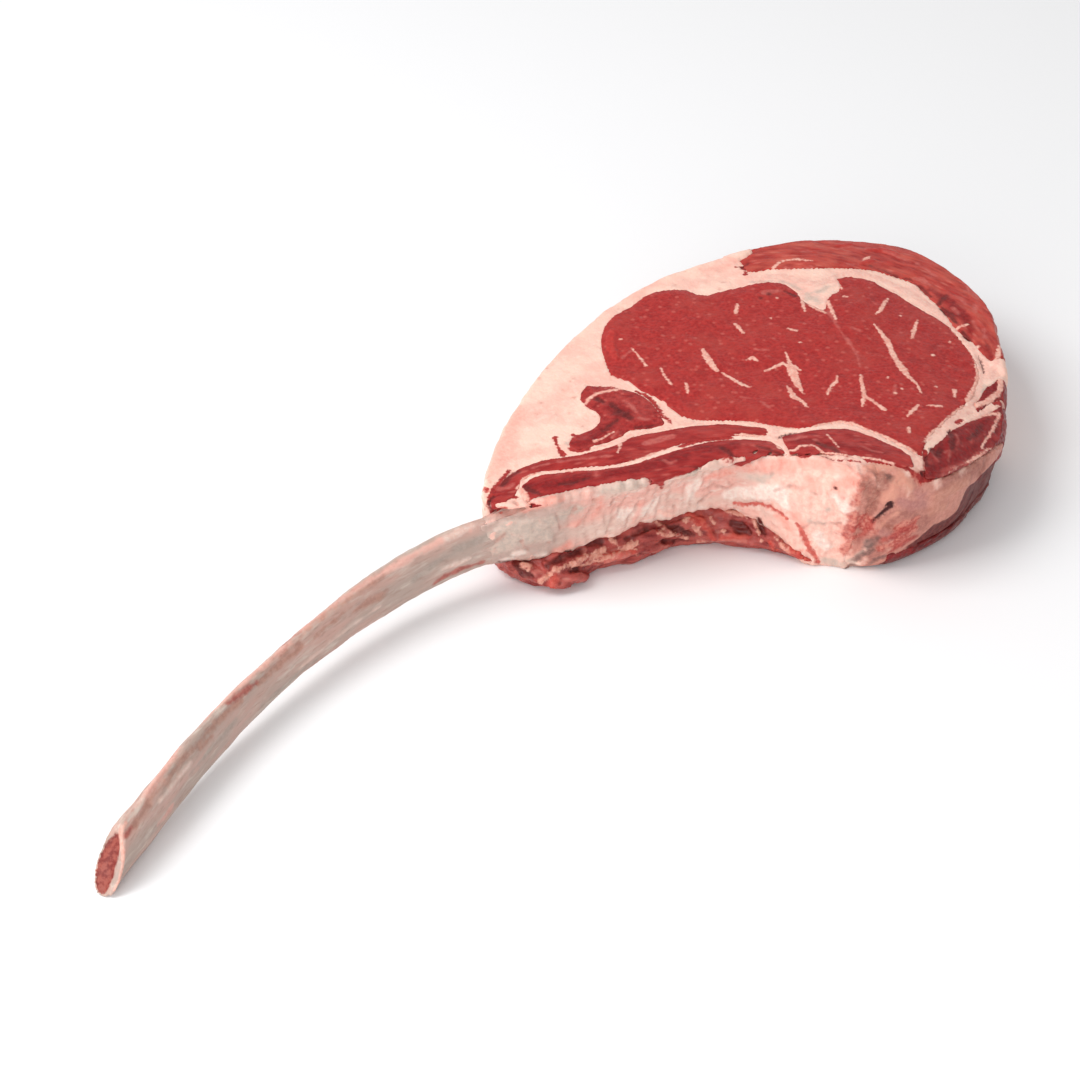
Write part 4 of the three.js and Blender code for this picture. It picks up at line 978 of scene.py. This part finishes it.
def blended(tree, amount, low, high):
    return put(tree, "Mix", {0: amount, 6: low, 7: high}, data_type="RGBA").outputs[2]


def ranged(tree, value, start, end, low=0.0, high=1.0):
    inputs = {"Value": value, "From Min": start, "From Max": end, "To Min": low, "To Max": high}
    return put(tree, "MapRange", inputs, interpolation_type="SMOOTHSTEP").outputs[0]


def counted(tree, operation, first, second=0.0):
    return put(tree, "Math", {0: first, 1: second}, operation=operation).outputs[0]


def cloudy(tree, place, size, detail=2.0, roughness=0.5):   # noise with patches of this size in millimetres
    inputs = {"Vector": place, "Scale": 1000 / size, "Detail": detail, "Roughness": roughness}
    return put(tree, "TexNoise", inputs).outputs[0]


def cellular(tree, place, size, feature="F1"):
    cells = put(tree, "TexVoronoi", {"Vector": place, "Scale": 1000 / size}, feature=feature)
    return cells.outputs["Distance"]


def objectPlace(tree):
    return put(tree, "TexCoord").outputs["Object"]


def grainPlace(tree):
    return put(tree, "Attribute", attribute_name="grain").outputs["Vector"]


# The noise in the paints, in millimetres: between their two tints, and along sharp and along soft edges.
paintNoise = {"tints": 1.8, "sharp": 1.5, "soft": 4.5, "softFrom": 0.75, "gain": 5}


def paintOver(tree, colour, paints):
    place = objectPlace(tree)
    share = ranged(tree, cloudy(tree, place, paintNoise["tints"], 3.0, 0.6), 0.38, 0.62)
    fine = counted(tree, "SUBTRACT", cloudy(tree, place, paintNoise["sharp"], 2.0), 0.5)
    broad = counted(tree, "SUBTRACT", cloudy(tree, place, paintNoise["soft"], 3.0), 0.5)
    for paint in paints:
        uneven = broad if paint["soft"] > paintNoise["softFrom"] else fine
        shift = counted(tree, "MULTIPLY", uneven, paint["waver"] * paintNoise["gain"])
        inside = put(tree, "Attribute", attribute_name=paint["channel"]).outputs["Fac"]
        value = counted(tree, "ADD", inside, shift)
        shown = ranged(tree, value, -paint["soft"], paint["soft"], 0.0, paint["strength"])
        colour = blended(tree, shown, colour, blended(tree, share, paint["tint"], paint["other"]))
    return colour


def bumped(tree, shader, height, distance):
    bump = put(tree, "Bump", {"Height": height, "Distance": distance * mm, "Strength": 1.0})
    tree.links.new(bump.outputs[0], shader.inputs["Normal"])


def dampness(tree, shader, roughness, spread, size=5.0):
    wet = ranged(tree, cloudy(tree, objectPlace(tree), size, 3.0), 0.35, 0.7, roughness - spread,
                 roughness + spread)
    tree.links.new(wet, shader.inputs["Roughness"])


# Raw lean: bundles of fibre cut across, here and there a pale fleck between them.
def leanMaterial(name, look, paints=leanPaints):
    material, tree, shader = newMaterial(
        name, Subsurface_Weight=0.12, Subsurface_Scale=0.0012, Subsurface_Radius=(1.0, 0.3, 0.2),
        Specular_IOR_Level=0.25,
    )
    place = grainPlace(tree)
    bundles = cellular(tree, place, look["bundle"], "SMOOTH_F1")
    fine = cloudy(tree, place, look["bundle"] * 0.8, 4.0, 0.65)
    softer = counted(tree, "MULTIPLY", bundles, 0.6)
    grain = counted(tree, "ADD", softer, counted(tree, "MULTIPLY", fine, 0.7))
    colour = blended(tree, ranged(tree, grain, 0.35, 0.85), look["deep"], look["bright"])
    patches = cloudy(tree, place, look["patch"], 3.0)
    colour = blended(tree, ranged(tree, patches, 0.42, 0.72, 0.0, look["patchiness"]), colour, look["other"])
    blots = cloudy(tree, place, look["patch"] * 0.45, 2.0)
    colour = blended(tree, ranged(tree, blots, 0.56, 0.74, 0.0, look["blots"]), colour, look["blot"])
    ragged = counted(tree, "MULTIPLY", fine, 0.3)
    flecks = counted(tree, "ADD", cellular(tree, place, look["fleckEvery"]), ragged)
    colour = blended(tree, ranged(tree, flecks, 0.45, 0.22, 0.0, look["fleckStrength"]), colour, look["pale"])
    colour = paintOver(tree, colour, paints)
    tree.links.new(colour, shader.inputs["Base Color"])
    dampness(tree, shader, look["roughness"], 0.1)
    bumped(tree, shader, grain, look["relief"])
    return material


eyeLook = {
    "deep": tone(156, 31, 30), "bright": tone(181, 49, 45), "other": tone(176, 60, 52),
    "blot": tone(146, 25, 25), "pale": tone(214, 112, 100),
    "bundle": 1.5, "patch": 13.0, "patchiness": 0.6, "blots": 0.6, "fleckEvery": 4.5, "fleckStrength": 0.4,
    "roughness": 0.42, "relief": 0.25,
}
capLook = eyeLook | {
    "deep": tone(156, 38, 34), "bright": tone(192, 72, 62), "other": tone(206, 98, 80),
    "blot": tone(198, 52, 46), "pale": tone(222, 128, 112), "bundle": 1.9, "patch": 4.5,
    "patchiness": 0.6, "fleckEvery": 3.2, "relief": 0.4,
}
stripLook = eyeLook | {
    "deep": tone(142, 26, 27), "bright": tone(174, 50, 46), "other": tone(180, 70, 64),
    "blot": tone(130, 20, 22), "bundle": 2.0, "patch": 7.0, "patchiness": 0.5, "blots": 0.75,
    "fleckEvery": 3.6, "roughness": 0.38, "relief": 0.4,
}
rawEdgeLook = eyeLook | {
    "deep": tone(116, 24, 26), "bright": tone(158, 44, 42), "other": tone(166, 70, 64),
    "blot": tone(90, 18, 20), "bundle": 2.2, "patch": 5.0, "patchiness": 0.55, "blots": 0.8,
    "fleckEvery": 3.6, "roughness": 0.38, "relief": 0.45,
}
soleLook = rawEdgeLook | {
    "deep": tone(96, 34, 34), "bright": tone(130, 58, 54), "other": tone(146, 80, 74),
    "blot": tone(78, 20, 22), "pale": tone(164, 104, 96),
}
underLook = eyeLook | {
    "deep": tone(132, 46, 44), "bright": tone(178, 80, 72), "other": tone(190, 102, 92),
    "blot": tone(112, 30, 30), "pale": tone(214, 144, 130), "bundle": 2.6, "patch": 6.0,
    "patchiness": 0.6, "blots": 0.8, "fleckEvery": 3.6, "roughness": 0.34, "relief": 0.5,
}


# Fat, membrane and bone: a pale ground with slow changes of colour and finer mottling.
def paleMaterial(name, look, paints):
    material, tree, shader = newMaterial(
        name, Subsurface_Weight=0.15, Subsurface_Scale=0.002, Subsurface_Radius=(1.0, 0.6, 0.45),
        Specular_IOR_Level=0.3,
    )
    place = grainPlace(tree)
    broad = cloudy(tree, place, look["broad"], 3.0)
    mottle = cloudy(tree, place, look["mottle"], 4.0, 0.6)
    streaks = cloudy(tree, place, look["mottle"] * 0.45, 3.0, 0.6)
    colour = blended(tree, ranged(tree, broad, 0.38, 0.64), look["main"], look["pinker"])
    colour = blended(tree, ranged(tree, mottle, 0.5, 0.72, 0.0, look["mottling"]), colour, look["paler"])
    colour = blended(tree, ranged(tree, streaks, 0.52, 0.75, 0.0, look["streaking"]), colour, look["streak"])
    colour = paintOver(tree, colour, paints)
    tree.links.new(colour, shader.inputs["Base Color"])
    dampness(tree, shader, look["roughness"], 0.08)
    lumps = cellular(tree, place, look["mottle"] * 0.5, "SMOOTH_F1")
    height = counted(tree, "ADD", mottle, counted(tree, "MULTIPLY", lumps, 0.4))
    bumped(tree, shader, height, look["relief"])
    return material


fatLook = {
    "main": tone(250, 208, 190), "pinker": tone(244, 190, 174), "paler": tone(250, 216, 200),
    "streak": tone(240, 178, 162), "broad": 16.0, "mottle": 3.2, "mottling": 0.5, "streaking": 0.3,
    "roughness": 0.5, "relief": 0.3,
}
membraneLook = fatLook | {
    "main": tone(222, 188, 174), "pinker": tone(230, 174, 160), "paler": tone(234, 210, 198),
    "streak": tone(200, 148, 136), "broad": 9.0, "mottle": 2.8, "mottling": 0.8, "streaking": 0.55,
    "roughness": 0.38, "relief": 0.5,
}
boneLook = fatLook | {
    "main": tone(178, 156, 145), "pinker": tone(196, 158, 146), "paler": tone(206, 190, 178),
    "streak": tone(158, 128, 116), "broad": 8.0, "mottle": 2.4, "mottling": 0.8, "streaking": 0.6,
    "roughness": 0.45, "relief": 0.25,
}


def makeStage():
    floorSide = 8.0
    shape = bmesh.new()
    bmesh.ops.create_grid(shape, x_segments=1, y_segments=1, size=floorSide / 2)
    mesh = bpy.data.meshes.new("floor")
    shape.to_mesh(mesh)
    shape.free()
    floor = bpy.data.objects.new("floor", mesh)
    bpy.context.scene.collection.objects.link(floor)
    material, tree, shader = newMaterial("paleFloor", Roughness=0.75, Base_Color=tone(246, 246, 247))
    floor.data.materials.append(material)


lighting = {
    "world": 0.59,
    # name: place from the target to the picture's right, up from the table, towards the camera; side; power
    "lamps": {
        "key": (-900, 1250, 150, 900, 16.0),
        "front": (-500, 500, 1300, 900, 8.0),
    },
}


def makeLights():
    world = bpy.data.worlds.new("studio")
    world.use_nodes = True
    world.node_tree.nodes["Background"].inputs["Color"].default_value = (1, 1, 1, 1)
    world.node_tree.nodes["Background"].inputs["Strength"].default_value = lighting["world"]
    bpy.context.scene.world = world
    place, right, up, away = cameraFrame()
    forward = Vector((-away.x, -away.y, 0)).normalized()
    target = Vector(view["target"])
    for name, (across, high, near, side, power) in lighting["lamps"].items():
        lamp = bpy.data.objects.new(name, bpy.data.lights.new(name, "AREA"))
        bpy.context.scene.collection.objects.link(lamp)
        spot = target + right * across + Vector((0, 0, high)) - forward * near
        lamp.location = spot * mm
        lamp.rotation_euler = (target - spot).to_track_quat("-Z", "Y").to_euler()
        lamp.data.size = side * mm
        lamp.data.energy = power
    bpy.context.scene.view_settings.view_transform = "Standard"


# The muscles: node, voxel and sideways growth in millimetres, what their grain follows, and down to which
# height the strokes of the cut face run through them.
muscles = {
    "ribEye": {"node": "rib_eye", "voxel": 1.05, "grow": 1.2, "fine": True, "look": "eye"},
    "ribCap": {"node": "rib_cap", "voxel": 0.75, "grow": 1.0, "look": "cap", "grain": "eye"},
    "leanNugget": {"node": "lean_nugget", "voxel": 0.55, "grow": 1.1, "look": "strip", "slot": "dark_lean"},
    "upperStrip": {"node": "upper_strip", "voxel": 0.55, "grow": 1.2, "look": "strip", "grain": "rib"},
    "lowerStrip": {"node": "lower_strip", "voxel": 0.55, "grow": 1.0, "look": "strip", "grain": "rib"},
    "sideStrip": {"node": "side_strip", "voxel": 0.55, "grow": 1.2, "look": "strip", "grain": "rib"},
    "cornerLean": {"node": "corner_lean", "voxel": 0.55, "grow": 1.1, "look": "edge", "slot": "dark_lean"},
    "wedgeLean": {"node": "wedge_lean", "voxel": 0.55, "grow": 0.5, "look": "edge", "slot": "dark_lean"},
    "soleLean": {"node": "sole_lean", "voxel": 0.7, "grow": 0.5, "look": "sole", "slot": "dark_lean",
                 "faceDownTo": 20.0},
}
leanNodes = [settings["node"] for settings in muscles.values()]


muscleShape = {
    "fineDepth": 12,                 # below its top, where the eye has a finer mesh
    "grainStretch": 3.0,             # how much longer its grain is along the rib or round the eye
    "wallWaver": [(0.55, 4.2, 2.0), (0.4, 1.9, 7.0)],     # height, size and seed
    "wallStretch": (1, 1, 0.35),
    "dome": 0.45,                    # how far the cut face swells up within its edge
    "domeEdge": 3.0,
    "edgeSink": 0.15,
    "faceSwell": (0.15, 4.0, 3.0),
    "underLap": 1.8,                 # how deep it lies where fat or membrane laps over it
}


def makeMuscle(name, settings, material):
    shape = muscleShape
    piece = skinOver(name, [grownCopy(settings["node"], settings["grow"], 0.0)], settings["voxel"])
    if settings.get("fine"):
        places = placesOf(piece)
        near = places[:, 2] > places[:, 2].max() - shape["fineDepth"]
        refineWhere(piece, near & (normalsOf(piece)[:, 2] > 0.8))
    places = placesOf(piece)
    normals = normalsOf(piece)
    walls = solidTree([settings["node"]], lambda face: abs(face.normal.z) < 0.5)
    edge = nearest(walls, places)
    stretch = shape["grainStretch"]
    follows = {"eye": roundEye(places, stretch), "rib": alongRib(places, stretch)}
    keepGrain(piece, follows.get(settings.get("grain"), places))
    lift = paintPiece(piece, places, leanPaints, settings.get("faceDownTo", 0.0))
    lift -= shape["underLap"] * rindOver(places, "outerFat", "boneSheath") * notBelow(normals)
    upright = smoothStep(0.75, 0.35, abs(normals[:, 2]))
    face = smoothStep(0.6, 0.9, normals[:, 2])
    waver = swells(places * np.array(shape["wallStretch"]), *shape["wallWaver"])
    dome = shape["dome"] * (1 - np.exp(-edge / shape["domeEdge"])) - shape["edgeSink"]
    dome += swells(places, shape["faceSwell"])
    places += normals * lift[:, None]
    places[:, :2] += normals[:, :2] * (waver * upright)[:, None]
    places[:, 2] += face * dome
    shapeTogether(places)
    layDown(piece, places)
    finishPiece(piece, material, settings.get("slot", "lean"), settings["node"])


# Drops whatever of a piece's top would show through the muscles that lie over it, except where it laps them.
def sinkUnderLean(places, depth, rind):
    reach = 3                        # what stands further above the muscles is left alone
    leanTop = topOf(solidTree(leanNodes), places)
    hidden = (places[:, 2] > leanTop - depth) & (places[:, 2] < leanTop + reach)
    low = np.where(hidden, leanTop - depth, places[:, 2])
    places[:, 2] += (low - places[:, 2]) * (1 - rind)


fatShape = {
    "voxel": 1.07,
    "grow": 0.3,                     # how far the solids grow, so that one skin closes over them
    "membraneFrom": 72.0,            # to the right of this it also covers the membrane
    "fineWithin": 1.3,               # of the red nicks in its edge, where its mesh is finer
    "fineAbove": 35,
    "faceDownTo": 32.0,
    "hemBefore": -40,
    "shadeFrom": (99, -55, 38),      # painted shade darkens the right wall right of, before and below these
    "ripples": [(0.2, 3.2, 1.0), (0.35, 10.0, 4.0)],      # height, size and seed
    "underMuscle": 1.0,              # how deep it lies under the muscles and under the membrane
    "underMembrane": 0.8,
    "clear": 1.2,                    # how far below the muscles' tops it keeps
    "lap": 0.9,                      # how high its laps stand
}


# The fat is a skin over the whole block of meat, drawn in under the muscles and the end of the membrane.
def makeOuterFat(material):
    shape = fatShape
    grow = shape["grow"]
    copies = [grownCopy(node, grow, grow) for node in ["outer_fat"] + leanNodes]
    copies.append(grownCopy("bone_sheath", grow, grow, cutBelow=shape["membraneFrom"]))
    piece = skinOver("outerFat", copies, shape["voxel"])
    places = placesOf(piece)
    red = insideStrokes(places, faceStrokes["lean"].values(), flat=True)
    onFace = (places[:, 2] > shape["fineAbove"]) & (normalsOf(piece)[:, 2] > 0.5)
    refineWhere(piece, (red > -shape["fineWithin"]) & onFace)
    places = placesOf(piece)
    normals = normalsOf(piece)
    keepGrain(piece, places)
    x, y, z = places.T
    absent = np.full(len(places), -20.0)
    hem = np.minimum(np.interp(x, *zip(*hemLine)) - z, shape["hemBefore"] - y)
    # The right wall gets painted shade everywhere right of, before and below shadeFrom.
    shadeX, shadeY, shadeZ = shape["shadeFrom"]
    wall = np.minimum.reduce([x - shadeX, shadeY - y, shadeZ - z])
    lift = paintPiece(piece, places, skinPaints, faceDownTo=shape["faceDownTo"],
                      given={"bare": lambda inside: absent, "creamy": lambda inside: absent,
                             "shade": lambda inside: np.maximum(inside, wall),
                             "hem": lambda inside: hem})
    toLean = nearest(solidTree(leanNodes), places)
    toFat = nearest(solidTree(["outer_fat"]), places)
    toSheath = nearest(solidTree(["bone_sheath"]), places)
    rind = rindOver(places, "outerFat")
    underMuscle = smoothStep(0.0, 0.7, toFat - toLean) * (1 - rind)
    underSheath = smoothStep(0.5, 3.5, toFat - toSheath)
    calm = 0.3 + 0.7 * smoothStep(0.3, 2.5, toLean)
    ripple = swells(places, *shape["ripples"])
    sunk = np.maximum(shape["underMuscle"] * underMuscle, shape["underMembrane"] * underSheath)
    places += normals * (lift + calm * ripple - grow - sunk + shape["lap"] * rind)[:, None]
    sinkUnderLean(places, shape["clear"], rind)
    shapeTogether(places)
    layDown(piece, places)
    finishPiece(piece, material, "fat", "outer_fat")


sheathShape = {
    "voxel": 0.64,
    "grow": 0.3,
    "grainStretch": 2.5,
    "bareFor": 33,                   # from its left end it is as bare as the bone for this far
    "creamyFrom": 76,                # past this place along x it is as creamy as the fat
    "rightEnd": (70, 85),            # between these it begins to tuck under the fat
    "tuck": 0.9,
    "folds": (0.8, 6.0, 1.0),        # height, size and seed, along the rib
    "wrinkles": (0.35, 2.8, 4.0),
    "thins": (26, 2),                # from its left end, where it thins out onto the bone
    "thinSwell": (3, 5.0, 3.0),
    "tears": (-2, 5),                # from its left end, where its torn edge rises from within the bone
    "tearSwell": (5, 4.0, 3.0),
    "within": 1.2,                   # how deep in the bone it ends, and how deep it lies under the bone
    "withinBelow": 1.4,
    "rise": 1.7,
    "underMuscle": 1.2,
    "clear": 1.3,
    "lap": 0.9,
}


# The membrane thins out onto the bone at its left end and slips under the fat at its right end.
def makeSheath(material):
    shape = sheathShape
    grow = shape["grow"]
    copies = [grownCopy("bone_sheath", grow, 0.0), grownCopy("lower_strip", grow, grow),
              grownCopy("upper_strip", grow, 0.0)]
    piece = skinOver("boneSheath", copies, shape["voxel"])
    places = placesOf(piece)
    normals = normalsOf(piece)
    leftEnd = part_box("bone_sheath")[0][0] / mm
    fromLeft = places[:, 0] - leftEnd
    keepGrain(piece, alongRib(places, shape["grainStretch"]))
    lift = paintPiece(piece, places, skinPaints, faceDownTo=overAll,
                      given={"bare": lambda inside: shape["bareFor"] - fromLeft,
                             "creamy": lambda inside: places[:, 0] - shape["creamyFrom"]})
    toFat = nearest(solidTree(["outer_fat"]), places)
    toLean = nearest(solidTree(["lower_strip", "upper_strip"]), places)
    toSheath = nearest(solidTree(["bone_sheath"]), places)
    rind = rindOver(places, "boneSheath")
    underMuscle = smoothStep(0.0, 0.7, toSheath - toLean) * (1 - rind)
    tuck = shape["tuck"] * smoothStep(2.5, 0.3, toFat) * smoothStep(*shape["rightEnd"], places[:, 0])
    folds = swells(alongRib(places, 0.5), shape["folds"]) + swells(places, shape["wrinkles"])
    thin = smoothStep(*shape["thins"], fromLeft + swells(places, shape["thinSwell"]))
    boneTree = solidTree(["rib_bone"])
    onBone = [boneTree.find_nearest(place) for place in places.tolist()]
    outward = np.array([np.array(normal) for hit, normal, index, gap in onBone])
    over = np.clip(2 * np.sum(normals * outward, axis=1), -1, 1)
    outside = smoothStep(-0.7, -0.2, over)
    torn = fromLeft + swells(places * np.array([0, 1, 1]), shape["tearSwell"])
    proud = outside * (shape["rise"] * smoothStep(*shape["tears"], torn) - shape["within"])
    proud -= shape["withinBelow"] * (1 - outside)
    laid = np.array([np.array(hit) for hit, normal, index, gap in onBone]) + proud[:, None] * outward
    lift += folds - tuck - shape["underMuscle"] * underMuscle + shape["lap"] * rind
    places += normals * lift[:, None]
    places = places * (1 - thin)[:, None] + laid * thin[:, None]
    sinkUnderLean(places, shape["clear"], rind)
    shapeTogether(places)
    layDown(piece, places)
    finishPiece(piece, material, "membrane", "bone_sheath")


underShape = {
    "voxel": 0.6,
    "grow": 0.2,
    "grainStretch": 3.0,
    "strands": (0.9, 4.5, 1.0),      # height, size and seed, along the rib
    "threads": (0.5, 2.2, 4.0),
    "paintLift": 1.4,
}


def makeUnderLean(material):
    shape = underShape
    piece = skinOver("underLean", [grownCopy("under_lean", shape["grow"], shape["grow"])], shape["voxel"])
    places = placesOf(piece)
    normals = normalsOf(piece)
    keepGrain(piece, alongRib(places, shape["grainStretch"]))
    lift = shape["paintLift"] * paintPiece(piece, places, underPaints, faceDownTo=overAll)
    lift += swells(alongRib(places, 2.5), shape["strands"])
    lift += swells(alongRib(places, 1.6), shape["threads"])
    places += normals * lift[:, None]
    layDown(piece, places)
    finishPiece(piece, material, "dark_lean", "under_lean")


boneShape = {
    "voxel": 0.62,
    "grainStretch": 6.0,
    "ridges": (0.3, 3.0, 1.0),       # height, size and seed, along the rib
    "lumps": (0.25, 9.0, 4.0),
    "marrowPixel": (107, 862),       # the middle of the cut tip in the photograph
}


def makeBone(material):
    shape = boneShape
    piece = skinOver("ribBone", [grownCopy("rib_bone", 0.0, 0.0)], shape["voxel"])
    places = placesOf(piece)
    normals = normalsOf(piece)
    keepGrain(piece, alongRib(places, shape["grainStretch"]))
    spot = Vector(onSteak(*shape["marrowPixel"]))
    outward = np.array(steakTree.find_nearest(spot)[1])
    facing = 12 * (normals @ outward - 0.6)
    lift = paintPiece(piece, places, bonePaints, faceDownTo=overAll,
                      given={"marrow": lambda inside: np.minimum(inside, facing)})
    lift += swells(alongRib(places, 8.0), shape["ridges"]) + swells(places, shape["lumps"])
    places += normals * lift[:, None]
    layDown(piece, places)
    finishPiece(piece, material, "bone", "rib_bone")


makeCamera()
makeLights()
makeStage()
print("stage: camera, lights and floor made")

leanMaterials = {
    "eye": leanMaterial("freshLean", eyeLook),
    "cap": leanMaterial("capLean", capLook),
    "strip": leanMaterial("stripLean", stripLook),
    "edge": leanMaterial("rawEdgeLean", rawEdgeLook),
    "sole": leanMaterial("soleLean", soleLook),
}
underMaterial = leanMaterial("strandyLean", underLook, underPaints)
creamyFat = paleMaterial("creamyFat", fatLook, skinPaints)
membrane = paleMaterial("membrane", membraneLook, skinPaints)
bareBone = paleMaterial("bareBone", boneLook, bonePaints)
print("stage: materials made")

for muscleName, muscleSettings in muscles.items():
    makeMuscle(muscleName, muscleSettings, leanMaterials[muscleSettings["look"]])
makeOuterFat(creamyFat)
makeSheath(membrane)
makeUnderLean(underMaterial)
makeBone(bareBone)
